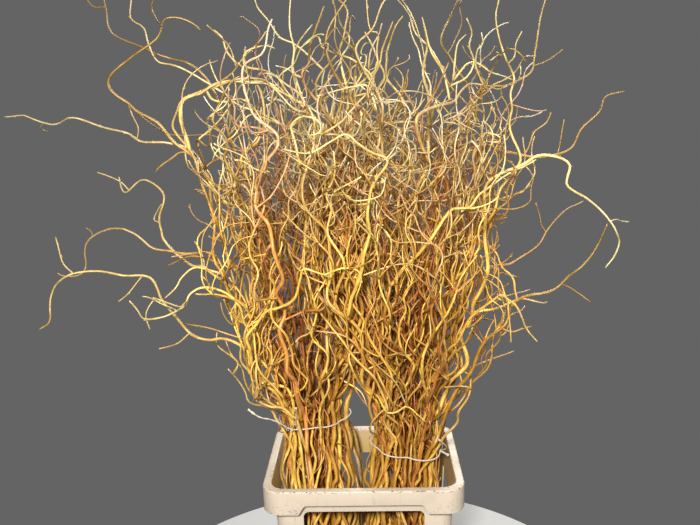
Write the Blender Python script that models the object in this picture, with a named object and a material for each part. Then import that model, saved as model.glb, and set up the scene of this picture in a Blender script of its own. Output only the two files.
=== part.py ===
"""Curly willow: two tied bunches of branches standing in a rectangular flower bucket.

Metres, +Z up. The origin is the middle of the bucket's underside, X runs along its
long side and the front is -Y. Every branch is a twisting main stem with side shoots
fused to it. Branches keep clear of each other: each one wanders by seeded chance
until its way is free.
"""
import math
import random

import bmesh
import bpy
import numpy as np
from mathutils import Vector

# Bucket
RIM_LENGTH = 0.400
RIM_WIDTH = 0.300
RIM_TOP = 0.420
RIM_BAND = 0.016
RIM_CORNER = 0.038
SKIRT_DROP = 0.050
SKIRT_SIDE_DROP = 0.030
SKIRT_WALL = 0.003
SKIRT_SLANT = 0.012
EDGE_EASE = 0.002
RIM_EASE = 0.003
WALL = 0.0025
FLOOR = 0.003
BODY_INSET = 0.022
BASE_INSET = 0.038
WINDOW_TOP = RIM_TOP - 0.055
WINDOW_DROP = 0.100
WINDOW_CORNER = 0.012
WINDOW_CUT = 0.030
POST_WIDTH = 0.058
CORNER_STEPS = 6

# Branches
SEED = 41
BRANCHES_PER_BUNCH = 23
SHOOTS_PER_BRANCH = 3
FOOT_HEIGHT = FLOOR + 0.0005
GAP = 0.0010
TIP_RADIUS = 0.0013
STEM_RADII = (0.0044, 0.0064)
GOLDEN_ANGLE = 2.399963
SPAN_STEPS = (0.24, 0.76)
BUNCH_HEIGHTS = (0.0, RIM_TOP, RIM_TOP + 0.09, RIM_TOP + 0.22, RIM_TOP + 0.40, RIM_TOP + 0.62,
                 RIM_TOP + 1.0)
BUNCH_AXIS = (0.086, 0.098, 0.107, 0.113, 0.118, 0.120, 0.118)
BUNCH_SPREAD = (0.056, 0.064, 0.065, 0.122, 0.178, 0.215, 0.235)
SWAY_HEIGHTS = (-0.50, -0.15, 0.0, 0.12, 0.35, 0.90)
SWAYS = (0.001, 0.006, 0.005, 0.014, 0.027, 0.034)
SWAY_RANGE = (0.35, 1.25)
DRIFT = 0.25
DRIFT_HEIGHT = 0.45
STEP_HEIGHTS = (0.30, 0.55)
STEPS = (0.180, 0.100)
STEP_RANGE = (0.8, 1.2)
WAY_LEAD = 0.05
LOWEST_SHOOT = 0.12
SHOOT_LENGTHS = (0.055, 0.090)
SHOOT_RISE = (-0.2, 0.5)
SHOOT_OUTWARD = 3.0
SHOOT_FORWARD = 0.45
SHOOT_TURN = 0.8
SHOOT_LIFT = 0.2
OWN_WAY_SHARE = 0.7
FIRST_SPAN_SHARE = 0.6
CROWN_TOPS = (0.72, 1.00)
CROWN_LIMIT = RIM_TOP + 1.02
SHOOT_SHARE = 0.62
SEARCH = 0.02
TRIES = 300

# Ties
STRING_RADIUS = 0.0017
KNOT_RADIUS = 0.0036
TIE_POINTS = 24
TIE_EASE = 0.0016
TIE_BAND = 0.004
TAIL_SHARE = 0.85

# Centimetres: the loose ends of each tie, after its knot
LEFT_TAILS = [[(-12.9, -9.8, 55.2), (-12.6, -13.2, 58.8)],
              [(-17.6, -9.0, 54.4), (-20.2, -9.6, 55.4), (-22.5, -9.2, 56.9)]]
RIGHT_TAILS = [[(17.9, -1.3, 42.5)], [(17.1, -5.0, 46.2), (15.3, -7.8, 49.2)]]

# Centimetres: the ways of the branches that leave their bunch, picked out one by one
LEFT_WAYS = {
    "low_reach": [(-23.5, -9, 70), (-29.5, -9.5, 72), (-34, -10, 73.5), (-36.5, -10, 78.5),
                  (-39.5, -10.5, 83.5), (-44.5, -11, 85), (-49.5, -11.5, 86), (-54.5, -12, 85.5),
                  (-58, -12, 81), (-58.5, -12.5, 77), (-60.5, -13, 75)],
    "arch": [(-26.5, -3, 81), (-29, -2.5, 86.5), (-36, -2.5, 87.5), (-41.5, -2, 88.5), (-44.5, -1.5, 92),
             (-47, -1.5, 93), (-52, -1, 91), (-55, -0.5, 87.5), (-57, -0.5, 83), (-61.5, 0, 83.5)],
    "low_curl": [(-23, -10, 78.5), (-28.5, -11.5, 82.5), (-33.5, -13, 79.5), (-37, -14, 77.5),
                 (-40, -15.5, 78), (-41, -17, 82)],
    "wave": [(-30.5, 5, 81.5), (-36.5, 5.5, 83.5), (-40.5, 6.5, 89), (-42, 7, 93), (-41, 8, 97.5),
             (-44.5, 8.5, 100.5), (-48.5, 9.5, 98.5), (-50.5, 10, 101.5)],
    "long_reach": [(-30.5, 2, 103), (-33, 2.5, 107), (-37.5, 2.5, 108.5), (-43, 3, 109), (-46, 3.5, 111.5),
                   (-51, 3.5, 112), (-56, 4, 113.5), (-61.5, 4.5, 113), (-66.5, 4.5, 115), (-71, 5, 114.5)],
    "bow": [(-26, -6, 81.5), (-28, -6, 87.5), (-27.5, -6, 94.5), (-29, -5.5, 101), (-31.5, -5.5, 107.5),
            (-33.5, -5.5, 113), (-32, -5.5, 117), (-26.5, -5, 119.5), (-20.5, -5, 123.5), (-16.5, -5, 129)],
    "hook": [(-30, -0.5, 103), (-33.5, -0.5, 108), (-38, -0.5, 112), (-42, -1, 116), (-45.5, -1, 118),
             (-46.5, -1.5, 120.5), (-44.5, -2, 123.5), (-39, -2, 127), (-35.5, -2.5, 131.5),
             (-32.5, -2.5, 132), (-29, -3, 129)],
    "crown": [(-29.5, 10, 119.5), (-35, 10.5, 124), (-41, 11.5, 126.5), (-47, 12, 128.5),
              (-50.5, 12.5, 132), (-51.5, 13.5, 136.5), (-51.5, 14, 140)],
}
RIGHT_WAYS = {
    "reach": [(24, 2, 106), (29, 2.5, 105.5), (34.5, 3, 104.5), (41.5, 3.5, 105.5), (45, 4, 109.5),
              (49, 4.5, 115), (52.5, 5, 116.5)],
    "hook": [(25, -5, 99), (30, -5.5, 103.5), (35, -5.5, 105.5), (39.5, -6, 103.5), (39, -6.5, 99.5),
             (43, -6.5, 97), (47, -7, 94), (49, -7.5, 91), (48.5, -7.5, 86.5), (46.5, -8, 84)],
    "low_reach": [(24.5, -8, 69), (28, -8.5, 73.5), (32, -8.5, 79), (37.5, -9, 80.5), (40.5, -9.5, 83.5),
                  (43.5, -9.5, 87.5), (46.5, -10, 92.5)],
    "rise": [(26, 5, 80.5), (33, 6, 83), (38, 6.5, 87), (41.5, 7.5, 92), (46.5, 8, 94.5)],
    "low_drop": [(24, -12, 79), (28.5, -13.5, 79), (30.5, -14.5, 74.5), (32.5, -16, 72.5)],
    "mast": [(27, 0, 96), (31, 0.5, 102.5), (31.5, 0.5, 106.5), (29, 1, 112), (30.5, 1, 118),
             (28.5, 1.5, 123), (27, 1.5, 128.5), (27.5, 2, 135.5)],
    "outer_mast": [(25, 8, 117), (31.5, 8.5, 118.5), (35.5, 9, 121), (36.5, 9, 126.5), (37, 9.5, 132),
                   (38, 10, 136.5)],
    "elbow": [(17.5, -5, 50), (19, -5, 53.5), (22, -5, 57.5), (22, -5, 62.5), (23.5, -5, 67.5),
              (26.5, -5, 73.5)],
}


def clear_scene():
    """Remove what the file holds, so the model starts from nothing."""
    for obj in list(bpy.data.objects):
        bpy.data.objects.remove(obj, do_unlink=True)


def new_collection(name):
    """Make a collection in the scene."""
    collection = bpy.data.collections.new(name)
    bpy.context.scene.collection.children.link(collection)
    return collection


def finish(name, colour, roughness):
    """Make a plain Principled material."""
    material = bpy.data.materials.new(name)
    material.use_nodes = True
    shader = material.node_tree.nodes["Principled BSDF"]
    shader.inputs["Base Color"].default_value = (*colour, 1.0)
    shader.inputs["Roughness"].default_value = roughness
    shader.inputs["Metallic"].default_value = 0.0
    return material


# Curves and meshes


def smooth_way(points):
    """Points on a Catmull-Rom curve through the given points, two near each so that bends are round."""
    points = np.asarray(points, float)
    ends = np.vstack((2 * points[0] - points[1], points, 2 * points[-1] - points[-2]))
    way = [points[0]]
    for before, start, end, after in zip(ends, ends[1:], ends[2:], ends[3:]):
        for t in SPAN_STEPS:
            way.append(0.5 * (2 * start + (end - before) * t
                              + (2 * before - 5 * start + 4 * end - after) * t * t
                              + (3 * start - before - 3 * end + after) * t ** 3))
    way.append(points[-1])
    return np.round(np.array(way), 5)


def taper(way, root_radius):
    """Radii that fall from the root to the tip."""
    lengths = np.linalg.norm(np.diff(way, axis=0), axis=1)
    left = 1.0 - np.concatenate(([0.0], np.cumsum(lengths))) / lengths.sum()
    return TIP_RADIUS + (root_radius - TIP_RADIUS) * np.maximum(left, 0.0) ** 0.85


def tube(name, way, radii, sides, collection, closed=False):
    """A solid tube round a way: a bevelled poly curve turned into a welded mesh."""
    origin = Vector(way[0])
    curve = bpy.data.curves.new(name, "CURVE")
    curve.dimensions = "3D"
    spline = curve.splines.new("POLY")
    spline.points.add(len(way) - 1)
    spline.use_cyclic_u = closed
    for point, place, radius in zip(spline.points, way, radii):
        point.co = (*(Vector(place) - origin), 1.0)
        point.radius = radius
    curve.use_fill_caps = not closed
    section = None
    if sides == 3:
        section = triangle_section()
        curve.bevel_mode = "OBJECT"
        curve.bevel_object = section
    else:
        curve.bevel_depth = 1.0
        curve.bevel_resolution = (sides - 4) // 2
    source = bpy.data.objects.new(name + "_curve", curve)
    source.location = origin
    collection.objects.link(source)
    bpy.context.view_layer.update()
    solid = mesh_from_curve(name, source, collection)
    if section:
        bpy.data.objects.remove(section, do_unlink=True)
    return solid


def triangle_section():
    """A three-sided outline of radius one, for thin shoots."""
    outline = bpy.data.curves.new("shoot_section", "CURVE")
    outline.dimensions = "2D"
    spline = outline.splines.new("POLY")
    spline.points.add(2)
    spline.use_cyclic_u = True
    for corner, point in enumerate(spline.points):
        angle = 2 * math.pi * corner / 3
        point.co = (math.cos(angle), math.sin(angle), 0.0, 1.0)
    section = bpy.data.objects.new("shoot_section", outline)
    bpy.context.scene.collection.objects.link(section)
    return section


def mesh_from_curve(name, source, collection):
    """Turn a curve object into a mesh object with its caps welded on."""
    evaluated = source.evaluated_get(bpy.context.evaluated_depsgraph_get())
    mesh = bpy.data.meshes.new_from_object(evaluated)
    bm = bmesh.new()
    bm.from_mesh(mesh)
    bmesh.ops.remove_doubles(bm, verts=bm.verts, dist=1e-5)
    bmesh.ops.recalc_face_normals(bm, faces=bm.faces)
    bm.to_mesh(mesh)
    bm.free()
    mesh.name = name
    solid = bpy.data.objects.new(name, mesh)
    solid.matrix_world = source.matrix_world
    collection.objects.link(solid)
    bpy.data.objects.remove(source, do_unlink=True)
    return solid


def fuse(solid, helpers):
    """Join every object of a collection to a solid, then remove that collection."""
    union = solid.modifiers.new("fused", "BOOLEAN")
    union.operation = "UNION"
    union.operand_type = "COLLECTION"
    union.collection = helpers
    union.solver = "EXACT"
    bpy.context.view_layer.update()
    evaluated = solid.evaluated_get(bpy.context.evaluated_depsgraph_get())
    joined = bpy.data.meshes.new_from_object(evaluated)
    solid.modifiers.clear()
    joined.name = solid.name
    solid.data = joined
    for helper in list(helpers.objects):
        bpy.data.objects.remove(helper, do_unlink=True)
    bpy.data.collections.remove(helpers)


def dress(solid, material):
    """Give a solid its only material and soften its shading."""
    solid.data.materials.clear()
    solid.data.materials.append(material)
    solid.data.shade_smooth()
    solid.data.set_sharp_from_angle(angle=math.radians(50))


# Bucket


def rounded_ring(bm, inset, height):
    """Vertices round a rectangle with rounded corners, set in from the rim's outside."""
    radius = max(RIM_CORNER - inset * 0.5, 0.012)
    reach_x = RIM_LENGTH / 2 - inset - radius
    reach_y = RIM_WIDTH / 2 - inset - radius
    ring = []
    for corner, (side_x, side_y) in enumerate(((1, 1), (-1, 1), (-1, -1), (1, -1))):
        for step in range(CORNER_STEPS + 1):
            angle = math.pi / 2 * (corner + step / CORNER_STEPS)
            ring.append(bm.verts.new((side_x * reach_x + radius * math.cos(angle),
                                      side_y * reach_y + radius * math.sin(angle), height)))
    return ring


def build_bucket(collection, cutters, material):
    """The tub: a lofted shell with a turned-down rim, cut by the skirt's steps and the windows."""
    under_rim = RIM_TOP - SKIRT_WALL
    profile = [
        (BASE_INSET + EDGE_EASE, 0.0), (BASE_INSET, EDGE_EASE), (BODY_INSET, WINDOW_TOP),
        (RIM_BAND - WALL, under_rim), (SKIRT_WALL, under_rim), (SKIRT_WALL, RIM_TOP - SKIRT_DROP),
        (0.0, RIM_TOP - SKIRT_DROP), (0.0, RIM_TOP - RIM_EASE), (RIM_EASE, RIM_TOP),
        (RIM_BAND - EDGE_EASE, RIM_TOP), (RIM_BAND, RIM_TOP - EDGE_EASE),
        (BODY_INSET + WALL, WINDOW_TOP), (BASE_INSET + WALL, FLOOR),
    ]
    bm = bmesh.new()
    rings = [rounded_ring(bm, inset, height) for inset, height in profile]
    for lower, upper in zip(rings, rings[1:]):
        for here in range(len(lower)):
            there = (here + 1) % len(lower)
            bm.faces.new((lower[here], lower[there], upper[there], upper[here]))
    bm.faces.new(list(reversed(rings[0])))
    bm.faces.new(rings[-1])
    bmesh.ops.recalc_face_normals(bm, faces=bm.faces)
    mesh = bpy.data.meshes.new("bucket")
    bm.to_mesh(mesh)
    bm.free()
    bucket = bpy.data.objects.new("bucket", mesh)
    collection.objects.link(bucket)
    for turn, rim_reach, window in ((0, RIM_WIDTH / 2, RIM_LENGTH - 2 * BODY_INSET - 2 * POST_WIDTH),
                                    (1, RIM_LENGTH / 2, RIM_WIDTH - 2 * BODY_INSET - 2 * POST_WIDTH)):
        for side in (-1, 1):
            heading = math.pi / 2 * turn + (math.pi if side > 0 else 0.0)
            cut(bucket, window_cutter(heading, rim_reach, window, cutters))
            cut(bucket, skirt_cutter(heading, rim_reach, window, cutters))
    dress(bucket, material)
    return bucket


def window_cutter(heading, rim_reach, width, cutters):
    """A block with rounded edges that opens a window in one wall."""
    bm = bmesh.new()
    bmesh.ops.create_cube(bm, size=1.0)
    bmesh.ops.scale(bm, vec=(width, WINDOW_CUT, WINDOW_DROP), verts=bm.verts)
    across = [edge for edge in bm.edges if abs(edge.verts[0].co.y - edge.verts[1].co.y) > WINDOW_CUT / 2]
    bmesh.ops.bevel(bm, geom=across, offset=WINDOW_CORNER, segments=3, profile=0.5, affect="EDGES")
    middle = Vector((0.0, -(rim_reach - BODY_INSET - 2.5 * WALL), WINDOW_TOP - WINDOW_DROP / 2))
    return cutter_object("window_cutter", bm, middle, heading, cutters)


def skirt_cutter(heading, rim_reach, width, cutters):
    """A block with slanting ends that shortens the rim's skirt between two corners."""
    half_top = width / 2 - SKIRT_SLANT / 3
    low = 1.1 * (SKIRT_SIDE_DROP - SKIRT_DROP)
    bm = bmesh.new()
    bmesh.ops.create_cube(bm, size=1.0)
    for vert in bm.verts:
        half = half_top if vert.co.z > 0 else half_top + 1.1 * SKIRT_SLANT
        height = 0.0 if vert.co.z > 0 else low
        vert.co = (math.copysign(half, vert.co.x), 4.5 * SKIRT_WALL * vert.co.y, height)
    middle = Vector((0.0, -(rim_reach - SKIRT_WALL), RIM_TOP - SKIRT_SIDE_DROP))
    return cutter_object("skirt_cutter", bm, middle, heading, cutters)


def cutter_object(name, bm, middle, heading, cutters):
    """Turn a cutter about the bucket's axis to its own wall."""
    mesh = bpy.data.meshes.new(name)
    bm.to_mesh(mesh)
    bm.free()
    cutter = bpy.data.objects.new(name, mesh)
    cutter.rotation_euler.z = heading
    middle.rotate(cutter.rotation_euler)
    cutter.location = middle
    cutter.hide_render = True
    cutter.display_type = "WIRE"
    cutters.objects.link(cutter)
    return cutter


def cut(solid, cutter):
    """Take a cutter away from a solid."""
    modifier = solid.modifiers.new(cutter.name, "BOOLEAN")
    modifier.operation = "DIFFERENCE"
    modifier.object = cutter
    modifier.solver = "EXACT"


# How the branches run


class Taken:
    """The space that stems, shoots and ties already fill, as round-ended segments."""

    def __init__(self):
        self.starts = np.zeros((0, 3))
        self.ends = np.zeros((0, 3))
        self.radii = np.zeros(0)
        self.owners = np.zeros(0, int)

    def add(self, way, radii, owner=-1):
        """Fill the space along a way, for the branch that owns it."""
        self.starts = np.vstack((self.starts, way[:-1]))
        self.ends = np.vstack((self.ends, way[1:]))
        self.radii = np.concatenate((self.radii, np.maximum(radii[:-1], radii[1:])))
        self.owners = np.concatenate((self.owners, np.full(len(way) - 1, owner)))

    def room(self, way, radii, skip=-2):
        """The least gap between a way and all that is taken, leaving one owner out."""
        low = way.min(axis=0) - SEARCH
        high = way.max(axis=0) + SEARCH
        near = np.all((np.minimum(self.starts, self.ends) < high)
                      & (np.maximum(self.starts, self.ends) > low), axis=1) & (self.owners != skip)
        if not near.any():
            return SEARCH
        gaps = segment_distance(way[:-1], way[1:], self.starts[near], self.ends[near])
        reach = np.maximum(radii[:-1], radii[1:])
        return float((gaps - reach[:, None] - self.radii[near][None]).min())


def segment_distance(starts, ends, other_starts, other_ends):
    """Least distance from each segment of one set to each segment of another."""
    along = (ends - starts)[:, None]
    other = (other_ends - other_starts)[None]
    apart = starts[:, None] - other_starts[None]
    a = (along * along).sum(axis=2)
    b = (along * other).sum(axis=2)
    c = (other * other).sum(axis=2)
    d = (along * apart).sum(axis=2)
    e = (other * apart).sum(axis=2)
    s = np.clip((b * e - c * d) / np.maximum(a * c - b * b, 1e-12), 0.0, 1.0)
    t = np.clip((b * s + e) / c, 0.0, 1.0)
    s = np.clip((b * t - d) / a, 0.0, 1.0)
    gap = apart + s[..., None] * along - t[..., None] * other
    return np.sqrt((gap * gap).sum(axis=2))


def unit(vector):
    """A vector of length one."""
    return vector / np.sqrt((vector * vector).sum())


class Bunch:
    """One tied bunch: where its axis stands, how it spreads, and the lane of each stem."""

    def __init__(self, name, side, shift, girth, tie_height, tie_slope, knot_angle, tails, ways):
        self.name = name
        self.side = side
        self.shift = shift
        self.girth = girth
        self.tie_height = tie_height
        self.tie_slope = tie_slope
        self.knot_angle = knot_angle
        self.tails = tails
        self.ways = ways

    def lane(self, number):
        """A stem's place across the bunch, from the middle out in a golden spiral."""
        reach = math.sqrt((number + 0.5) / BRANCHES_PER_BUNCH)
        angle = GOLDEN_ANGLE * number
        return np.array((reach * math.cos(angle), reach * math.sin(angle)))

    def at(self, lane, height):
        """Where a lane runs at a height."""
        middle = self.side * np.interp(height, BUNCH_HEIGHTS, BUNCH_AXIS) + self.shift
        spread = self.girth * np.interp(height, BUNCH_HEIGHTS, BUNCH_SPREAD)
        return np.array((middle + spread * lane[0], spread * lane[1], height))


class Branch:
    """One branch: the control points, the way and the radii of its stem and of its shoots."""

    def __init__(self, number, controls, root_radius, away=0):
        self.number = number
        self.controls = controls
        self.way = smooth_way(controls)
        self.radii = taper(self.way, root_radius)
        self.away = away
        self.shoots = []


def stem_controls(bunch, lane, rng, way):
    """Control points of a main stem: up its lane, swinging from side to side, then its own way."""
    angle = rng.uniform(0.0, 2 * math.pi)
    drift = np.array((rng.uniform(-DRIFT, DRIFT), rng.uniform(-DRIFT, DRIFT)))
    top = RIM_TOP + rng.uniform(*CROWN_TOPS)
    pull = np.zeros(3)
    if way:
        drift *= 0.0
        top = way[0][2] - WAY_LEAD
        pull = np.array(way[0]) - bunch.at(lane, way[0][2])
    points = [bunch.at(lane, FOOT_HEIGHT)]
    height = FOOT_HEIGHT
    while True:
        height += np.interp(height, STEP_HEIGHTS, STEPS) * rng.uniform(*STEP_RANGE)
        if height > top:
            break
        above = max(height - bunch.tie_height, 0.0)
        angle += math.pi + rng.uniform(-1.0, 1.0)
        swing = np.interp(height - bunch.tie_height, SWAY_HEIGHTS, SWAYS) * rng.uniform(*SWAY_RANGE)
        place = bunch.at(lane + drift * min(above / DRIFT_HEIGHT, 1.0), height)
        place += swing * np.array((math.cos(angle), math.sin(angle), 0.0))
        if way:
            place += pull * (above / (way[0][2] - bunch.tie_height)) ** 2
        points.append(place)
    points.extend(np.array(point) for point in way)
    return np.round(np.array(points), 5)


def lay_stem(bunch, number, taken, rng, way=()):
    """Try seeded ways for one stem and keep the first that is free."""
    lane = bunch.lane(number)
    best_room, best = -1.0, None
    for _ in range(TRIES):
        branch = Branch(number, stem_controls(bunch, lane, rng, way), rng.uniform(*STEM_RADII), len(way))
        room = taken.room(branch.way, branch.radii)
        if room > best_room:
            best_room, best = room, branch
        if room >= GAP:
            break
    return best


def lay_stems(bunch, taken, rng):
    """Lay a bunch's stems one by one: first those with a way of their own, in the nearest lanes."""
    free = list(range(BRANCHES_PER_BUNCH))
    branches = []
    for way in list(bunch.ways.values()) + [()] * (BRANCHES_PER_BUNCH - len(bunch.ways)):
        way = [tuple(value / 100 for value in point) for point in way]
        number = free[0]
        if way:
            number = min(free, key=lambda lane: round(float(np.abs(
                bunch.at(bunch.lane(lane), way[0][2]) - np.array(way[0])).sum()), 4))
        free.remove(number)
        branch = lay_stem(bunch, number, taken, rng, way)
        taken.add(branch.way, branch.radii, id_of(bunch, branch))
        branches.append(branch)
    return sorted(branches, key=lambda branch: branch.number)


def id_of(bunch, branch):
    """A number that tells every branch of both bunches apart."""
    return branch.number + (BRANCHES_PER_BUNCH if bunch.side > 0 else 0)


def tie_loop(bunch, branches):
    """The closed way of a tie: just outside the stems, all round the bunch."""
    middle = bunch.at(np.zeros(2), bunch.tie_height)
    x, y, radii = np.array(tie_crossings(bunch, branches, middle)).T
    way = []
    for step in range(TIE_POINTS):
        angle = 2 * math.pi * step / TIE_POINTS
        out_x, out_y = math.cos(angle), math.sin(angle)
        reach = float((x * out_x + y * out_y + radii).max()) + STRING_RADIUS + TIE_EASE
        way.append(middle + reach * np.array((out_x, out_y, bunch.tie_slope * out_x)))
    return np.round(np.array(way), 5)


def tie_crossings(bunch, branches, middle):
    """Where each stem passes a tie, and just under and over it: x and y from its middle, and radius."""
    crossings = []
    for branch in branches:
        x, y, z = branch.way.T
        for rise in (-TIE_BAND, 0.0, TIE_BAND):
            out = np.interp(bunch.tie_height, z, x) - middle[0]
            height = bunch.tie_height + bunch.tie_slope * out + rise
            crossings.append((np.interp(height, z, x) - middle[0], np.interp(height, z, y) - middle[1],
                              np.interp(height, z, branch.radii)))
    return crossings


def tie_tails(bunch, loop):
    """Where a tie's knot sits, and the ways of the two loose ends that leave it."""
    step = round(bunch.knot_angle / 360 * TIE_POINTS) % TIE_POINTS
    middle = bunch.at(np.zeros(2), bunch.tie_height)
    knot = loop[step] + unit(loop[step] - middle) * STRING_RADIUS
    return knot, [smooth_way([knot] + [np.array(point) / 100 for point in tail]) for tail in bunch.tails]


def shoot_controls(bunch, branch, at, rng):
    """Control points of a side shoot: out from its stem, then up in a zigzag."""
    root = branch.way[at]
    run = unit(branch.way[at + 1] - branch.way[at - 1])
    outward = root - bunch.at((0.0, 0.0), root[2])
    turn = rng.uniform(0.0, 2 * math.pi)
    aside = np.array((math.cos(turn), math.sin(turn), rng.uniform(*SHOOT_RISE))) + SHOOT_OUTWARD * outward
    aside = unit(aside - run * (aside * run).sum())
    heading = SHOOT_FORWARD * run + aside
    on_own_way = at >= len(branch.way) - 2 * branch.away
    length = rng.uniform(*SHOOT_LENGTHS) * (OWN_WAY_SHARE if on_own_way else 1.0)
    points = [root]
    for step in range(2 if on_own_way else 3):
        points.append(points[-1] + unit(heading) * length * (FIRST_SPAN_SHARE if step == 0 else 1.0))
        heading = unit(heading) + np.array([rng.uniform(-SHOOT_TURN, SHOOT_TURN) for _ in range(3)])
        heading[2] += SHOOT_LIFT
    return np.round(np.array(points), 5)


def lay_shoots(bunch, branch, taken, rng):
    """Add side shoots to a branch, each where its way is free."""
    owner = id_of(bunch, branch)
    first = int(np.searchsorted(branch.way[:, 2], bunch.tie_height + LOWEST_SHOOT))
    own = Taken()
    own.add(branch.way, branch.radii)
    span = (len(branch.way) - 3 - first) / SHOOTS_PER_BRANCH
    for shoot in range(SHOOTS_PER_BRANCH):
        for _ in range(TRIES):
            at = first + int(span * (shoot + rng.random()))
            controls = shoot_controls(bunch, branch, at, rng)
            way = smooth_way(controls)
            radii = taper(way, max(SHOOT_SHARE * branch.radii[at], TIP_RADIUS))
            if (taken.room(way, radii, skip=owner) >= GAP and own.room(way[2:], radii[2:]) >= GAP
                    and way[:, 2].max() < CROWN_LIMIT):
                break
        else:
            continue
        taken.add(way, radii, owner)
        own.add(way, radii)
        branch.shoots.append((controls, way, radii))


def build_branch(bunch, branch, collection, material):
    """A branch's solid: its stem with the shoots fused on."""
    name = f"branch_{bunch.name}_{branch.number + 1:02d}"
    solid = tube(name, branch.way, branch.radii, 4, collection)
    helpers = new_collection("shoots")
    for controls, way, radii in branch.shoots:
        tube("shoot", way, radii, 3, helpers)
    fuse(solid, helpers)
    dress(solid, material)
    return solid


def build_tie(bunch, loop, knot, tails, collection, material):
    """A tie's solid: the string's loop with its knot and loose ends fused on."""
    solid = tube(f"tie_{bunch.name}", loop, np.full(len(loop), STRING_RADIUS), 4, collection, closed=True)
    helpers = new_collection("knot")
    bm = bmesh.new()
    bmesh.ops.create_icosphere(bm, subdivisions=2, radius=KNOT_RADIUS)
    mesh = bpy.data.meshes.new("knot")
    bm.to_mesh(mesh)
    bm.free()
    ball = bpy.data.objects.new("knot", mesh)
    ball.location = knot
    helpers.objects.link(ball)
    for tail in tails:
        tube("tail", tail, np.full(len(tail), TAIL_SHARE * STRING_RADIUS), 4, helpers)
    fuse(solid, helpers)
    dress(solid, material)
    return solid


def main():
    """Build the bucket, the bunches and their ties."""
    clear_scene()
    parts = new_collection("curly_willow_branches")
    cutters = new_collection("cutters")
    cream = finish("bucket_plastic", (0.78, 0.70, 0.56), 0.55)
    bark = finish("willow_bark", (0.52, 0.33, 0.07), 0.6)
    string = finish("tie_string", (0.85, 0.82, 0.74), 0.8)
    build_bucket(parts, cutters, cream)
    rng = random.Random(SEED)
    taken = Taken()
    bunches = (Bunch("left", -1, 0.0, 1.0, RIM_TOP + 0.093, 0.06, 245, LEFT_TAILS, LEFT_WAYS),
               Bunch("right", 1, -0.010, 1.12, RIM_TOP + 0.026, -0.10, -8, RIGHT_TAILS, RIGHT_WAYS))
    laid = []
    for bunch in bunches:
        branches = lay_stems(bunch, taken, rng)
        loop = tie_loop(bunch, branches)
        laid.append((bunch, branches, loop, *tie_tails(bunch, loop)))
    for bunch, branches, loop, knot, tails in laid:
        for way in [np.vstack((loop, loop[:1]))] + tails:
            taken.add(way, np.full(len(way), STRING_RADIUS))
    for bunch, branches, loop, knot, tails in laid:
        for branch in branches:
            lay_shoots(bunch, branch, taken, rng)
        build_tie(bunch, loop, knot, tails, parts, string)
        for branch in branches:
            build_branch(bunch, branch, parts, bark)
    stand = bpy.data.objects.new("curly_willow", None)
    parts.objects.link(stand)
    for solid in parts.objects:
        if solid != stand:
            solid.parent = stand


main()
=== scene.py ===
"""The looks of a bucket of curly willow: bark, twigs, buds, moulded plastic and twine.

Metres, +Z up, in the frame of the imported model. Every branch solid gets a finer stand-in on the same
way: its stem and shoots with small curls, and the twigs and buds that grow on them. Thinner stems stand
between them. The bucket and the ties are modelled again with rounded edges and twisted strands.
"""

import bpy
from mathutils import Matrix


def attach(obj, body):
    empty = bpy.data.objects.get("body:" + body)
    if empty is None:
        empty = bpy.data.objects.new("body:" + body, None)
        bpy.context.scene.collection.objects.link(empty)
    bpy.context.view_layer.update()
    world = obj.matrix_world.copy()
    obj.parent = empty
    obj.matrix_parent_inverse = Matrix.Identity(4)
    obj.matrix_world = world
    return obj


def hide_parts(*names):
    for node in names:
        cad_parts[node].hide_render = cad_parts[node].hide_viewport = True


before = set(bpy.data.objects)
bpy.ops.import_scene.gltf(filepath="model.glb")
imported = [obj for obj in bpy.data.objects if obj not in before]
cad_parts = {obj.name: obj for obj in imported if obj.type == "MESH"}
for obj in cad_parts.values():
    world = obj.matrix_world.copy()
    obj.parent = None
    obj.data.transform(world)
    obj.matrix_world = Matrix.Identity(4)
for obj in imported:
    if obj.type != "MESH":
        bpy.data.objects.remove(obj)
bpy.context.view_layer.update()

import logging
import math
import random
from dataclasses import dataclass, field
from enum import Enum

import bmesh
import bpy
import numpy as np
from mathutils import Matrix, Vector

LOG = logging.getLogger("curly_willow")
BODY = "root"
UP = np.array((0.0, 0.0, 1.0))
ASKEW = np.array((0.31, 0.17, 0.93))
Colour = tuple[float, float, float]
Place = tuple[float, float, float]
Span = tuple[float, float]
Points = np.ndarray
Object = bpy.types.Object
Material = bpy.types.Material
Ways = dict[str, list[Place]]

# Bucket and its rim
RIM_LENGTH = 0.400
RIM_WIDTH = 0.300
RIM_TOP = 0.420
RIM_BAND = 0.016
RIM_CORNER = 0.038
LEAST_CORNER = 0.012
SKIRT_DROP = 0.050
SKIRT_SIDE_DROP = 0.030
SKIRT_WALL = 0.003
SKIRT_SLANT = 0.012
EDGE_EASE = 0.002
RIM_EASE = 0.003
WALL = 0.0025
FLOOR = 0.003
BODY_INSET = 0.022
BASE_INSET = 0.038
WINDOW_TOP = RIM_TOP - 0.055
WINDOW_DROP = 0.100
WINDOW_CORNER = 0.012
WINDOW_CUT = 0.030
POST_WIDTH = 0.058

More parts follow.
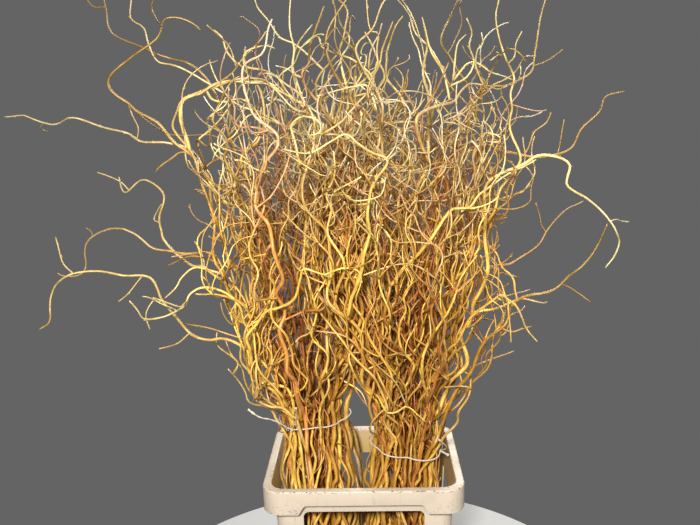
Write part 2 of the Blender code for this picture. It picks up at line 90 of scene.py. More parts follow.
# Branches, as the solids have them
SEED = 41
BRANCHES_PER_BUNCH = 23
SHOOTS_PER_BRANCH = 3
FOOT_HEIGHT = FLOOR + 0.0005
GAP = 0.0010
TIP_RADIUS = 0.0013
TAPER_POWER = 0.85
STEM_RADII = (0.0044, 0.0064)
GOLDEN_ANGLE = 2.399963
SPAN_STEPS = (0.24, 0.76)
BUNCH_HEIGHTS = (0.0, RIM_TOP, RIM_TOP + 0.09, RIM_TOP + 0.22, RIM_TOP + 0.40, RIM_TOP + 0.62,
                 RIM_TOP + 1.0)
BUNCH_AXIS = (0.086, 0.098, 0.107, 0.113, 0.118, 0.120, 0.118)
BUNCH_SPREAD = (0.056, 0.064, 0.065, 0.122, 0.178, 0.215, 0.235)
SWAY_HEIGHTS = (-0.50, -0.15, 0.0, 0.12, 0.35, 0.90)
SWAYS = (0.001, 0.006, 0.005, 0.014, 0.027, 0.034)
SWAY_RANGE = (0.35, 1.25)
DRIFT = 0.25
DRIFT_HEIGHT = 0.45
STEP_HEIGHTS = (0.30, 0.55)
STEPS = (0.180, 0.100)
STEP_RANGE = (0.8, 1.2)
WAY_LEAD = 0.05
LOWEST_SHOOT = 0.12
SHOOT_LENGTHS = (0.055, 0.090)
SHOOT_RISE = (-0.2, 0.5)
SHOOT_OUTWARD = 3.0
SHOOT_FORWARD = 0.45
SHOOT_TURN = 0.8
SHOOT_LIFT = 0.2
OWN_WAY_SHARE = 0.7
FIRST_SPAN_SHARE = 0.6
CROWN_TOPS = (0.72, 1.00)
CROWN_LIMIT = RIM_TOP + 1.02
SHOOT_SHARE = 0.62
SEARCH = 0.02
TRIES = 300

# Ties
STRING_RADIUS = 0.0017
TIE_POINTS = 24
TIE_EASE = 0.0016
TIE_BAND = 0.004

# Centimetres: the loose ends of each tie, after its knot
LEFT_TAILS = [[(-12.9, -9.8, 55.2), (-12.6, -13.2, 58.8)],
              [(-17.6, -9.0, 54.4), (-20.2, -9.6, 55.4), (-22.5, -9.2, 56.9)]]
RIGHT_TAILS = [[(17.9, -1.3, 42.5)], [(17.1, -5.0, 46.2), (15.3, -7.8, 49.2)]]

# Centimetres: the ways of the branches that leave their bunch, listed one by one
LEFT_WAYS: Ways = {
    "low_reach": [(-23.5, -9, 70), (-29.5, -9.5, 72), (-34, -10, 73.5), (-36.5, -10, 78.5),
        (-39.5, -10.5, 83.5), (-44.5, -11, 85), (-49.5, -11.5, 86), (-54.5, -12, 85.5), (-58, -12, 81),
        (-58.5, -12.5, 77), (-60.5, -13, 75)],
    "arch": [(-26.5, -3, 81), (-29, -2.5, 86.5), (-36, -2.5, 87.5), (-41.5, -2, 88.5), (-44.5, -1.5, 92),
        (-47, -1.5, 93), (-52, -1, 91), (-55, -0.5, 87.5), (-57, -0.5, 83), (-61.5, 0, 83.5)],
    "low_curl": [(-23, -10, 78.5), (-28.5, -11.5, 82.5), (-33.5, -13, 79.5), (-37, -14, 77.5),
        (-40, -15.5, 78), (-41, -17, 82)],
    "wave": [(-30.5, 5, 81.5), (-36.5, 5.5, 83.5), (-40.5, 6.5, 89), (-42, 7, 93), (-41, 8, 97.5),
        (-44.5, 8.5, 100.5), (-48.5, 9.5, 98.5), (-50.5, 10, 101.5)],
    "long_reach": [(-30.5, 2, 103), (-33, 2.5, 107), (-37.5, 2.5, 108.5), (-43, 3, 109), (-46, 3.5, 111.5),
        (-51, 3.5, 112), (-56, 4, 113.5), (-61.5, 4.5, 113), (-66.5, 4.5, 115), (-71, 5, 114.5)],
    "bow": [(-26, -6, 81.5), (-28, -6, 87.5), (-27.5, -6, 94.5), (-29, -5.5, 101), (-31.5, -5.5, 107.5),
        (-33.5, -5.5, 113), (-32, -5.5, 117), (-26.5, -5, 119.5), (-20.5, -5, 123.5), (-16.5, -5, 129)],
    "hook": [(-30, -0.5, 103), (-33.5, -0.5, 108), (-38, -0.5, 112), (-42, -1, 116), (-45.5, -1, 118),
        (-46.5, -1.5, 120.5), (-44.5, -2, 123.5), (-39, -2, 127), (-35.5, -2.5, 131.5), (-32.5, -2.5, 132),
        (-29, -3, 129)],
    "crown": [(-29.5, 10, 119.5), (-35, 10.5, 124), (-41, 11.5, 126.5), (-47, 12, 128.5), (-50.5, 12.5, 132),
        (-51.5, 13.5, 136.5), (-51.5, 14, 140)],
}
RIGHT_WAYS: Ways = {
    "reach": [(24, 2, 106), (29, 2.5, 105.5), (34.5, 3, 104.5), (41.5, 3.5, 105.5), (45, 4, 109.5),
        (49, 4.5, 115), (52.5, 5, 116.5)],
    "hook": [(25, -5, 99), (30, -5.5, 103.5), (35, -5.5, 105.5), (39.5, -6, 103.5), (39, -6.5, 99.5),
        (43, -6.5, 97), (47, -7, 94), (49, -7.5, 91), (48.5, -7.5, 86.5), (46.5, -8, 84)],
    "low_reach": [(24.5, -8, 69), (28, -8.5, 73.5), (32, -8.5, 79), (37.5, -9, 80.5), (40.5, -9.5, 83.5),
        (43.5, -9.5, 87.5), (46.5, -10, 92.5)],
    "rise": [(26, 5, 80.5), (33, 6, 83), (38, 6.5, 87), (41.5, 7.5, 92), (46.5, 8, 94.5)],
    "low_drop": [(24, -12, 79), (28.5, -13.5, 79), (30.5, -14.5, 74.5), (32.5, -16, 72.5)],
    "mast": [(27, 0, 96), (31, 0.5, 102.5), (31.5, 0.5, 106.5), (29, 1, 112), (30.5, 1, 118),
        (28.5, 1.5, 123), (27, 1.5, 128.5), (27.5, 2, 135.5)],
    "outer_mast": [(25, 8, 117), (31.5, 8.5, 118.5), (35.5, 9, 121), (36.5, 9, 126.5), (37, 9.5, 132),
        (38, 10, 136.5)],
    "elbow": [(17.5, -5, 50), (19, -5, 53.5), (22, -5, 57.5), (22, -5, 62.5), (23.5, -5, 67.5),
        (26.5, -5, 73.5)],
}

# Centimetres: lone twigs that stand out of the crowns, each from near its first point
LONE_TWIGS: Ways = {
    "low_mid": [(-26.5, -2, 82.5), (-32.5, -3, 84.5), (-35, -4.5, 83), (-36, -5.5, 81), (-39, -6.5, 78.5),
        (-40, -7.5, 79), (-41.5, -9, 76.5), (-40.5, -10, 74)],
    "top_inner": [(-28, 2, 119.5), (-34, 2.5, 123), (-38.5, 3.5, 124.5), (-40.5, 4, 128), (-41, 4.5, 131),
        (-43.5, 5.5, 133), (-43.5, 6, 137)],
    "rise": [(-6.5, 2, 122.5), (-11, 1.5, 126.5), (-14, 1, 128), (-16, 1, 131), (-18, 0.5, 133.5),
        (-18.5, 0, 135.5)],
    "mast": [(-10.5, -5, 120), (-11.5, -5, 121.5), (-11, -5, 125.5), (-11.5, -5, 128.5), (-11.5, -5, 131),
        (-11, -5, 135)],
    "crook": [(-17, -8, 120.5), (-19.5, -8.5, 122.5), (-19.5, -9, 124.5), (-18.5, -9, 125.5),
        (-16, -9.5, 126), (-14, -10, 125.5)],
    "mid_mast": [(4, -3, 118), (4, -3, 121.5), (4, -2.5, 125), (4.5, -2.5, 128), (3, -2, 129),
        (2.5, -2, 135)],
    "lean": [(17.5, 5, 120.5), (15, 6, 125), (12, 6.5, 128.5), (11, 7.5, 132), (8, 8, 135.5)],
    "tip": [(17.5, -5, 117.5), (16.5, -5, 120.5), (14, -5, 124.5), (13, -5, 128.5), (12.5, -5, 130.5)],
    "wand": [(19, 0, 118.5), (19, 0, 123), (19.5, 0, 126), (21, 0, 127.5)],
    "edge_wave": [(22, 6, 93), (25, 6.5, 94), (30, 7.5, 95.5), (34, 8, 96.5), (36, 8.5, 100), (36, 9.5, 104),
        (36.5, 10, 108)],
    "over_thin": [(-28.5, -5, 118), (-26, -5.5, 119), (-24.5, -6, 119.5), (-21, -7, 120.5),
        (-18, -7.5, 120.5), (-16, -8, 120), (-14, -9, 118.5), (-12, -9.5, 117), (-10.5, -10, 116)],
    "ribbon": [(-9.5, -8, 114.5), (-9.5, -7.5, 116.5), (-10.5, -6.5, 118), (-12.5, -6, 119.5),
        (-14, -5, 120.5), (-16, -4.5, 121.5), (-18, -3.5, 121), (-19.5, -3, 119.5)],
    "slope": [(4, -6, 116), (3.5, -5.5, 118), (3, -5, 120.5), (1.5, -5, 122), (-0.5, -4.5, 123.5),
        (-3, -4, 124.5), (-5, -3.5, 125.5), (-6, -3, 126), (-7, -3, 128), (-8.5, -2.5, 127), (-10, -2, 126)],
    "drop": [(-27.5, -6, 117.5), (-26, -7.5, 117), (-23.5, -9, 116.5), (-20.5, -10.5, 117),
        (-18.5, -11.5, 116), (-17, -13, 114), (-15.5, -14.5, 111.5), (-14, -16, 110)],
    "cross": [(-31, -2, 108), (-30, -3, 109.5), (-28, -3.5, 111), (-25.5, -4.5, 113), (-23.5, -5.5, 115.5),
        (-22, -6, 118.5), (-22, -7, 121.5)],
    "level": [(4.5, -10, 116.5), (2.5, -11, 118.5), (0, -11.5, 118.5), (-2.5, -12.5, 118),
        (-4.5, -13, 117.5), (-6.5, -14, 117)],
    "diagonal": [(-4.5, -15, 110), (-2.5, -13.5, 112.5), (-1, -12, 114), (1, -10.5, 116), (2.5, -9, 117.5),
        (3.5, -7.5, 119.5), (4, -6, 123)],
    "tuft_up": [(20, 2, 117), (21, 1, 119.5), (22.5, 0.5, 122.5), (21.5, -0.5, 125.5), (22, -1, 128),
        (21, -2, 130.5)],
    "tuft_side": [(24, 3, 118), (23.5, 2.5, 120.5), (23, 2, 122.5), (23.5, 1, 125), (24.5, 0.5, 126),
        (24, 0, 128)],
    "tuft_out": [(18.5, 1, 119.5), (20.5, 2, 121), (23, 3.5, 122.5), (26, 4.5, 121), (29, 6, 120),
        (31.5, 7, 119)],
    "u_loop": [(23, -5, 104.5), (23, -5.5, 107), (23.5, -6, 109.5), (25, -6.5, 109.5), (26.5, -6.5, 109),
        (26.5, -7, 108), (23.5, -7.5, 108), (22, -8, 107)],
    "mid_fork": [(16, -4, 112), (14.5, -3.5, 116), (14, -2.5, 118.5), (13, -2, 121.5), (12, -1.5, 124.5),
        (11, -0.5, 127), (10.5, 0, 130)],
    "left_fan": [(-14, 2, 113), (-18.5, 2, 114), (-22.5, 2.5, 115.5), (-25, 2.5, 117.5), (-27, 3, 120.5),
        (-28, 3, 124.5)],
    "left_fork": [(-21, -5, 123), (-23, -5.5, 125), (-24, -5.5, 127.5), (-25.5, -6, 129)],
    "low_cross": [(3, -10.5, 57), (5, -10.5, 56.5), (7, -10.5, 56.5), (8.5, -10.5, 57.5), (10.5, -10.5, 56),
        (12.5, -10.5, 54.5)],
    "gap": [(-5, -3, 62.5), (-3.5, -4, 60.5), (-0.5, -5, 58.5), (1, -6, 56)],
    "low_straggler": [(-21, -2, 53), (-23, -2.5, 55.5), (-24, -3, 58), (-25, -3, 60), (-26, -3.5, 62),
        (-27, -4, 63.5)],
    "low_streamer": [(-21, 0, 54.5), (-23.5, 0.5, 56.5), (-24.5, 0.5, 59), (-25, 1, 61.5), (-26, 1.5, 63),
        (-27.5, 1.5, 65), (-28.5, 2, 67.5)],
    "ring": [(-11, -16, 108), (-11, -16.5, 111.5), (-10.5, -17, 113), (-9, -17.5, 114), (-7, -17.5, 113.5),
        (-6, -18, 112.5), (-6, -18.5, 111), (-7.5, -19, 110.5)],
    "low_wisp": [(-23.5, -4, 63), (-25, -4, 64.5), (-26.5, -4.5, 66.5), (-28.5, -5, 69), (-28.5, -5, 71.5)],
}

# Centimetres: stems that lean into the gap between the bunches, below the ties
LEANING_STEMS: Ways = {
    "left_back": [(-3, 3, 0.5), (-1.5, 3.5, 20), (-1.2, 3.8, 36), (-2.4, 3.5, 44), (-4.8, 3, 51),
        (-8, 4, 62), (-10, 6, 75), (-9, 8, 88), (-12, 9, 98)],
    "left_front": [(-2.5, -1, 0.5), (-1.8, -1.5, 18), (-1.3, -1, 34), (-2.6, -1.5, 43), (-4.8, -1.2, 51.4),
        (-4.5, -3, 60), (-2.5, -5, 70), (-5, -6, 82)],
    "left_far": [(-2, 6, 0.5), (-0.8, 6.5, 18), (-0.4, 6.5, 34), (-2, 5.5, 45), (-5.5, 4, 51.6), (-6, 6, 62),
        (-4, 9, 74), (-6, 11, 86)],
    "right_back": [(3, 2, 0.5), (1, 2.5, 18), (0.8, 3, 34), (2.2, 3, 40), (4.4, 2.5, 45), (4.5, 4, 54),
        (3, 6, 65), (5, 8, 78), (3, 10, 90)],
    "right_front": [(2.5, -2, 0.5), (1.2, -2.4, 16), (1.1, -2, 32), (2.6, -2, 39), (4.4, -1.6, 44.8),
        (5.5, -3, 53), (7, -3.5, 63), (5.5, -6, 75), (7.5, -8, 86)],
}

# Centimetres: stout twigs that show in front of the crowns
STOUT_TWIGS: Ways = {
    "middle_hook": [(1, -17, 88), (2, -17, 92), (2, -17.5, 96), (2.5, -17.5, 100.5), (3.5, -18, 102.5),
        (5.5, -18, 105), (5, -18.5, 106.5), (2.5, -18.5, 107.5), (0.5, -19, 109), (-1.5, -19, 110.5),
        (-4, -19.5, 109.5), (-7.5, -19.5, 108), (-10, -20, 108), (-12.5, -20, 108.5)],
    "right_sweep": [(12.5, -16, 91.5), (15.5, -15, 95.5), (17, -14.5, 97), (20, -14, 97), (22, -13, 99),
        (24.5, -12, 100.5), (27.5, -11.5, 102.5), (30.5, -11, 104), (32.5, -10, 105)],
    "left_scroll": [(-21, -12, 70), (-21.5, -12.5, 73), (-19.5, -12.5, 75.5), (-17.5, -13, 78),
        (-15.5, -13, 78.5), (-13, -13.5, 79.5), (-11.5, -14, 81), (-11, -14, 83), (-10.5, -14.5, 85),
        (-10, -15, 86.5), (-8, -15, 86), (-6, -15.5, 85.5), (-3.5, -16, 86.5), (-1.5, -16, 86.5),
        (0, -16.5, 86), (0.5, -16.5, 84.5), (-0.5, -17, 81.5)],
    "left_loop": [(-13, -8.5, 54), (-14, -9, 55), (-15.5, -9, 57), (-17.5, -9.5, 57.5), (-19.5, -9.5, 58.5),
        (-20.5, -10, 60), (-20, -10, 61.5), (-19, -10.5, 63), (-18, -10.5, 65), (-16.5, -11, 68)],
    "left_edge": [(-14, -8, 60), (-17, -8, 61.5), (-19.5, -8.5, 62), (-21, -8.5, 63.5), (-22, -9, 66),
        (-22.5, -9, 68), (-23, -9.5, 70.5), (-24, -9.5, 74.5), (-24.5, -10, 77), (-23.5, -10, 79)],
    "right_lance": [(11.5, -12, 66.5), (12.5, -12.5, 70.5), (14, -13.5, 73.5), (16, -14, 77), (17, -15, 80),
        (18, -15.5, 83), (19, -16.5, 85.5), (21, -17, 89)],
    "right_inner": [(6, -10, 62.5), (5.5, -10.5, 65.5), (3.5, -11, 69), (1.5, -11.5, 72.5), (0.5, -12, 76),
        (-1.5, -13, 80), (-1.5, -13.5, 85), (-2, -14, 87), (-2, -14.5, 89.5), (-1, -15, 92.5)],
    "right_olive": [(10, -12, 65.5), (9.5, -12.5, 67.5), (8, -13, 69.5), (7.5, -13.5, 72.5), (7.5, -14, 76),
        (8.5, -14.5, 78), (8.5, -15, 81), (9.5, -15.5, 84), (8.5, -16, 86.5)],
    "over": [(-32.5, -5.5, 116), (-28.5, -6, 118), (-26, -6, 119.5), (-23.5, -6, 120), (-20.5, -6.5, 120),
        (-17.5, -7, 120), (-15.5, -7, 119.5), (-13.5, -7.5, 118), (-11.5, -7.5, 117), (-10, -8, 115.5),
        (-9, -8, 113.5)],
    "gold_ribbon": [(10.5, -14, 112), (12.5, -11.5, 114), (16, -9, 115), (18, -6.5, 115.5), (20, -4, 117.5),
        (22, -1.5, 118.5), (25, 1, 118), (27.5, 3.5, 117.5), (30, 6, 118)],
}


# Shader maths


@dataclass(frozen=True)
class Wire:
    """An output socket of a material, which takes part in sums.

    Args:
        sheet: The material's nodes.
        socket: The socket that carries the value.
    """

    sheet: "NodeSheet"
    socket: bpy.types.NodeSocket

    def _sum(self, operation: str, first: "Wire | float", second: "Wire | float") -> "Wire":
        """Add a Math node."""
        return self.sheet.add("ShaderNodeMath", {"operation": operation}, {0: first, 1: second})

    def __add__(self, other: "Wire | float") -> "Wire":
        """self + other."""
        return self._sum("ADD", self, other)

    def __sub__(self, other: "Wire | float") -> "Wire":
        """self - other."""
        return self._sum("SUBTRACT", self, other)

    def __rsub__(self, other: "Wire | float") -> "Wire":
        """other - self."""
        return self._sum("SUBTRACT", other, self)

    def __mul__(self, other: "Wire | float") -> "Wire":
        """self * other."""
        return self._sum("MULTIPLY", self, other)

    __radd__ = __add__
    __rmul__ = __mul__


class NodeSheet:
    """A material's node tree, with one method that adds any node."""

    def __init__(self, name: str) -> None:
        """Start a material that holds a Principled shader.

        Args:
            name: The material's name.
        """
        self.material = bpy.data.materials.new(name)
        self.material.use_nodes = True
        self.tree = self.material.node_tree
        self.shader = self.tree.nodes["Principled BSDF"]

    def add(self, kind: str, settings: dict, inputs: dict, output: int | str = 0) -> Wire:
        """Add a node.

        Args:
            kind: The node's type.
            settings: What is set before its sockets; "stops" gives a ramp's positions and colours.
            inputs: A value or a wire for each socket, by name or number.
            output: The socket to carry on from.

        Returns:
            The wire of that output.
        """
        node = self.tree.nodes.new(kind)
        for key, value in settings.items():
            if key == "stops":
                self._set_stops(node.color_ramp, value)
            else:
                setattr(node, key, value)
        for key, value in inputs.items():
            self.feed(node.inputs[key], value)
        return Wire(self, node.outputs[output])

    @staticmethod
    def _set_stops(ramp: bpy.types.ColorRamp, stops: tuple[tuple[float, Colour], ...]) -> None:
        """Give a ramp its stops.

        Args:
            ramp: The ramp of a new node.
            stops: The place and the colour of each stop.
        """
        while len(ramp.elements) < len(stops):
            ramp.elements.new(1.0)
        for element, (place, colour) in zip(ramp.elements, stops):
            element.position = place
            element.color = (*colour, 1.0)

    def feed(self, socket: bpy.types.NodeSocket, value: "Wire | float | Colour") -> None:
        """Link a wire to a socket, or set its value.

        Args:
            socket: The input.
            value: What it gets.
        """
        if isinstance(value, Wire):
            self.tree.links.new(value.socket, socket)
        elif isinstance(value, tuple) and len(socket.default_value) == 4:
            socket.default_value = (*value, 1.0)
        else:
            socket.default_value = value

    def dress(self, name: str, value: "Wire | float | Colour") -> None:
        """Feed one of the shader's own sockets."""
        self.feed(self.shader.inputs[name], value)

    def attribute(self, name: str, output: str = "Fac") -> Wire:
        """Read an attribute of the mesh."""
        return self.add("ShaderNodeAttribute", {"attribute_name": name}, {}, output)

    def noise(self, place: Wire, scale: float, detail: float, stretch: Place = (1.0, 1.0, 1.0)) -> Wire:
        """Noise from 0 to 1 over a place, stretched along its axes."""
        stretched = self.add("ShaderNodeVectorMath", {"operation": "MULTIPLY"}, {0: place, 1: stretch})
        return self.add("ShaderNodeTexNoise", {}, {"Vector": stretched, "Scale": scale, "Detail": detail})

    def ramp(self, factor: Wire, stops: tuple[tuple[float, Colour], ...]) -> Wire:
        """A colour from a ramp."""
        return self.add("ShaderNodeValToRGB", {"stops": stops}, {"Fac": factor})

    def remap(self, value: Wire, low: float, high: float, to_low: float = 0.0, to_high: float = 1.0) -> Wire:
        """A value carried from one range to another, smoothly and clipped."""
        return self.add("ShaderNodeMapRange", {"interpolation_type": "SMOOTHSTEP"},
                        {0: value, 1: low, 2: high, 3: to_low, 4: to_high})

    def mix(self, factor: "Wire | float", first: "Wire | Colour", second: "Wire | Colour",
            blend: str = "MIX") -> Wire:
        """Two colours mixed."""
        return self.add("ShaderNodeMix", {"data_type": "RGBA", "blend_type": blend},
                        {0: factor, 6: first, 7: second}, 2)

    def bump(self, height: Wire, strength: float, distance: float) -> Wire:
        """A normal from a height in metres times distance."""
        return self.add("ShaderNodeBump", {}, {"Strength": strength, "Distance": distance, "Height": height})


@dataclass(frozen=True)
class Bark:
    """Willow bark: pale yellow twigs that darken to golden, olive or red-brown stems.

    Args:
        name: The material's name.
        old: Colours of thick wood over the tint.
        young: Colours of thin wood over the tint.
        speck: Colour of the breathing pores.
        sheen: Colour of its highlights.
        gloss: How strong its highlights are.
    """

    name: str = "willow_bark"
    old: tuple[tuple[float, Colour], ...] = (
        (0.0, (0.69, 0.44, 0.070)), (0.35, (0.60, 0.335, 0.060)), (0.60, (0.46, 0.29, 0.052)),
        (0.80, (0.54, 0.225, 0.046)), (1.0, (0.44, 0.145, 0.028)))
    young: tuple[tuple[float, Colour], ...] = (
        (0.0, (0.50, 0.44, 0.20)), (0.45, (0.49, 0.46, 0.31)), (0.70, (0.47, 0.46, 0.38)),
        (0.85, (0.45, 0.34, 0.23)), (1.0, (0.38, 0.24, 0.15)))
    speck: Colour = (0.70, 0.56, 0.32)
    sheen: Colour = (1.0, 0.88, 0.62)
    gloss: float = 0.75
    patch_scale: float = 34.0
    grain_scale: float = 420.0
    pore_scale: float = 900.0

    def material(self) -> Material:
        """Make the material: dark streaks turn redder, and bright ones paler; the tone and the tint carry
        painted shade, darker and redder deep inside the bunch.

        Returns:
            The material.
        """
        sheet = NodeSheet(self.name)
        place = sheet.attribute("grain_place", "Vector")
        age = sheet.attribute("wood_age")
        tint = sheet.attribute("wood_tint")
        patch = sheet.noise(place, self.patch_scale, 3.0, (1.0, 1.0, 0.6))
        drift = tint + (patch - 0.5) * 0.35
        wood = sheet.mix(age, sheet.ramp(drift, self.young), sheet.ramp(drift, self.old))
        tone = sheet.attribute("wood_tone")
        grain = sheet.noise(place, self.grain_scale, 4.0, (1.0, 1.0, 0.16))
        # the tone carries painted shade from deep inside the bunch, which turns redder here as it darkens
        red = sheet.remap(grain, 0.25, 0.75, 0.60, 1.12) * tone
        green, blue = red * (red * 0.55 + 0.45), red * (red * 1.30 - 0.30)
        shade = sheet.add("ShaderNodeCombineColor", {}, {0: red, 1: green, 2: blue})
        wood = sheet.mix(1.0, wood, shade, "MULTIPLY")
        pores = sheet.noise(place, self.pore_scale, 1.0, (0.7, 0.7, 1.6))
        speckled = sheet.remap(pores, 0.66, 0.72, 0.0, 0.55) * age
        sheet.dress("Base Color", sheet.mix(speckled, wood, self.speck))
        sheet.dress("Roughness", sheet.remap(grain, 0.2, 0.8, 0.32, 0.48))
        sheet.dress("Specular IOR Level", self.gloss)
        sheet.dress("Specular Tint", self.sheen)
        sheet.dress("Normal", sheet.bump(grain * 0.6 + speckled * 0.5, 0.35, 0.0005))
        return sheet.material


@dataclass(frozen=True)
class Plastic:
    """Cream moulded plastic with scuffs, rubbed patches and small dark nicks on its edges, and painted brown
    shade down its inside.

    Args:
        name: The material's name.
        cream: The clean colour.
        rubbed: The colour of dull patches.
        nick: The colour of nicks and of dirt in them.
        painted_inside_shade: The colour of the painted shade inside, brown as if warmed by light off the
            willow.
    """

    name: str = "bucket_plastic"
    cream: Colour = (0.50, 0.42, 0.325)
    rubbed: Colour = (0.36, 0.30, 0.22)
    nick: Colour = (0.060, 0.042, 0.026)
    painted_inside_shade: Colour = (0.36, 0.235, 0.055)
    cloud_scale: float = 16.0
    scratch_scale: float = 75.0
    fleck_scale: float = 260.0
    nick_scale: float = 230.0
    pit_scale: float = 900.0

    def material(self) -> Material:
        """Make the material.

        Returns:
            The material.
        """
        sheet = NodeSheet(self.name)
        place = sheet.add("ShaderNodeTexCoord", {}, {}, "Object")
        edge = sheet.attribute("edge_wear")
        inside = sheet.attribute("inside_stain")
        cloud = sheet.noise(place, self.cloud_scale, 4.0)
        cream = sheet.mix(sheet.remap(cloud, 0.45, 0.75, 0.0, 0.35), self.cream, self.rubbed)
        scratch = sheet.noise(place, self.scratch_scale, 3.0, (1.6, 1.6, 0.35))
        scuffs = sheet.remap(scratch, 0.60, 0.72, 0.0, 0.40)
        cream = sheet.mix(scuffs, cream, self.rubbed)
        flecks = sheet.remap(sheet.noise(place, self.fleck_scale, 2.0), 0.70, 0.74, 0.0, 0.5)
        cream = sheet.mix(flecks, cream, self.rubbed)
        nicks = sheet.remap(sheet.noise(place, self.nick_scale, 1.5, (0.8, 0.8, 1.4)), 0.60, 0.64) * edge
        cream = sheet.mix(nicks * 0.9, cream, self.nick)
        # painted shade down the inside, broken up by the clouds
        inside_shade_share = inside * sheet.remap(cloud, 0.30, 0.60, 0.60, 1.0)
        sheet.dress("Base Color", sheet.mix(inside_shade_share, cream, self.painted_inside_shade))
        sheet.dress("Roughness", sheet.remap(cloud, 0.3, 0.7, 0.42, 0.62))
        pits = sheet.noise(place, self.pit_scale, 2.0)
        sheet.dress("Normal", sheet.bump(pits * 0.25 - nicks * 1.5 - scuffs, 0.35, 0.0005))
        return sheet.material


@dataclass(frozen=True)
class Twine:
    """White paper twine, a little grey in its turns.

    Args:
        name: The material's name.
        white: The fibre's colour.
        grey: The colour of the worn and dusty stretches.
    """

    name: str = "tie_string"
    white: Colour = (0.56, 0.50, 0.41)
    grey: Colour = (0.40, 0.33, 0.24)
    fibre_scale: float = 1500.0
    dust_scale: float = 45.0

    def material(self) -> Material:
        """Make the material.

        Returns:
            The material.
        """
        sheet = NodeSheet(self.name)
        place = sheet.add("ShaderNodeTexCoord", {}, {}, "Object")
        fibre = sheet.noise(sheet.attribute("grain_place", "Vector"), self.fibre_scale, 3.0, (1.0, 1.0, 0.2))
        dust = sheet.remap(sheet.noise(place, self.dust_scale, 3.0), 0.4, 0.7)
        sheet.dress("Base Color", sheet.mix(dust * 0.5 + fibre * 0.2, self.white, self.grey))
        sheet.dress("Roughness", sheet.remap(fibre, 0.2, 0.8, 0.7, 0.9))
        sheet.dress("Normal", sheet.bump(fibre, 0.6, 0.0004))
        return sheet.material


@dataclass(frozen=True)
class StudioFloor:
    """A plain pale floor.

    Args:
        name: The material's name.
        colour: Its colour.
        darker: The colour of its faint clouds.
        roughness: How matt it is.
    """

    name: str = "studio_floor"
    colour: Colour = (0.45, 0.45, 0.445)
    darker: Colour = (0.423, 0.423, 0.4183)
    cloud_scale: float = 1.5
    roughness: float = 0.9

    def material(self) -> Material:
        """Make the material.

        Returns:
            The material.
        """
        sheet = NodeSheet(self.name)
        place = sheet.add("ShaderNodeTexCoord", {}, {}, "Object")
        cloud = sheet.noise(place, self.cloud_scale, 2.0)
        sheet.dress("Base Color", sheet.mix(cloud, self.colour, self.darker))
        sheet.dress("Roughness", self.roughness)
        return sheet.material


# Ways: rows of points


def unit(vector: Points) -> Points:
    """A vector of length one."""
    return vector / np.sqrt((vector * vector).sum())


def polar(angle: float, reach: float = 1.0) -> Span:
    """A point at an angle and a distance from the middle."""
    return reach * math.cos(angle), reach * math.sin(angle)


def catmull_rom(points: Points, shares: tuple[float, ...]) -> Points:
    """Points on a smooth curve through the given ones.

    Args:
        points: What the curve goes through.
        shares: Where each span is sampled, from 0 to 1.

    Returns:
        The first point, the samples of every span and the last point.
    """
    points = np.asarray(points, float)
    ends = np.vstack((2 * points[0] - points[1], points, 2 * points[-1] - points[-2]))
    way = [points[0]]
    for before, start, end, after in zip(ends, ends[1:], ends[2:], ends[3:]):
        for t in shares:
            way.append(0.5 * (2 * start + (end - before) * t
                              + (2 * before - 5 * start + 4 * end - after) * t * t
                              + (3 * start - before - 3 * end + after) * t ** 3))
    way.append(points[-1])
    return np.array(way)


def smooth_way(points: Points) -> Points:
    """The way of a solid's tube: two samples in each span."""
    return np.round(catmull_rom(points, SPAN_STEPS), 5)


def lengths_along(way: Points) -> Points:
    """How far along a way each of its points lies."""
    return np.concatenate(([0.0], np.cumsum(np.linalg.norm(np.diff(way, axis=0), axis=1))))


def even_way(points: Points, step: float) -> Points:
    """A smooth way through points, with its samples an even step apart.

    Args:
        points: What the way goes through.
        step: About how far its samples lie apart.

    Returns:
        The samples, three spans of them at the least.
    """
    fine = catmull_rom(points, tuple(np.arange(1, 12) / 12))
    along = lengths_along(fine)
    even = np.linspace(0.0, along[-1], max(int(round(along[-1] / step)), 3) + 1)
    return np.column_stack([np.interp(even, along, axis) for axis in fine.T])


def taper(way: Points, root_radius: float, tip_radius: float = TIP_RADIUS,
          power: float = TAPER_POWER) -> Points:
    """Radii that fall from the root to the tip.

    Args:
        way: The wood's middle line.
        root_radius: The radius at its start.
        tip_radius: The radius at its end.
        power: How early it thins: below 1 it stays stout for longer.

    Returns:
        The radius at each point.
    """
    along = lengths_along(way)
    return tip_radius + (root_radius - tip_radius) * np.maximum(1.0 - along / along[-1], 0.0) ** power


def segment_distance(starts: Points, ends: Points, other_starts: Points, other_ends: Points) -> Points:
    """Least distance from each segment of one set to each segment of another.

    Args:
        starts: Where the first set's segments start.
        ends: Where they end.
        other_starts: Where the second set's segments start.
        other_ends: Where they end.

    Returns:
        A row for each segment of the first set, with a distance for each one of the second.
    """
    along = (ends - starts)[:, None]
    other = (other_ends - other_starts)[None]
    apart = starts[:, None] - other_starts[None]
    a = (along * along).sum(axis=2)
    b = (along * other).sum(axis=2)
    c = (other * other).sum(axis=2)
    d = (along * apart).sum(axis=2)
    e = (other * apart).sum(axis=2)
    s = np.clip((b * e - c * d) / np.maximum(a * c - b * b, 1e-12), 0.0, 1.0)
    t = np.clip((b * s + e) / c, 0.0, 1.0)
    s = np.clip((b * t - d) / a, 0.0, 1.0)
    gap = apart + s[..., None] * along - t[..., None] * other
    return np.sqrt((gap * gap).sum(axis=2))


# How the branches run: the same draws as in the solids


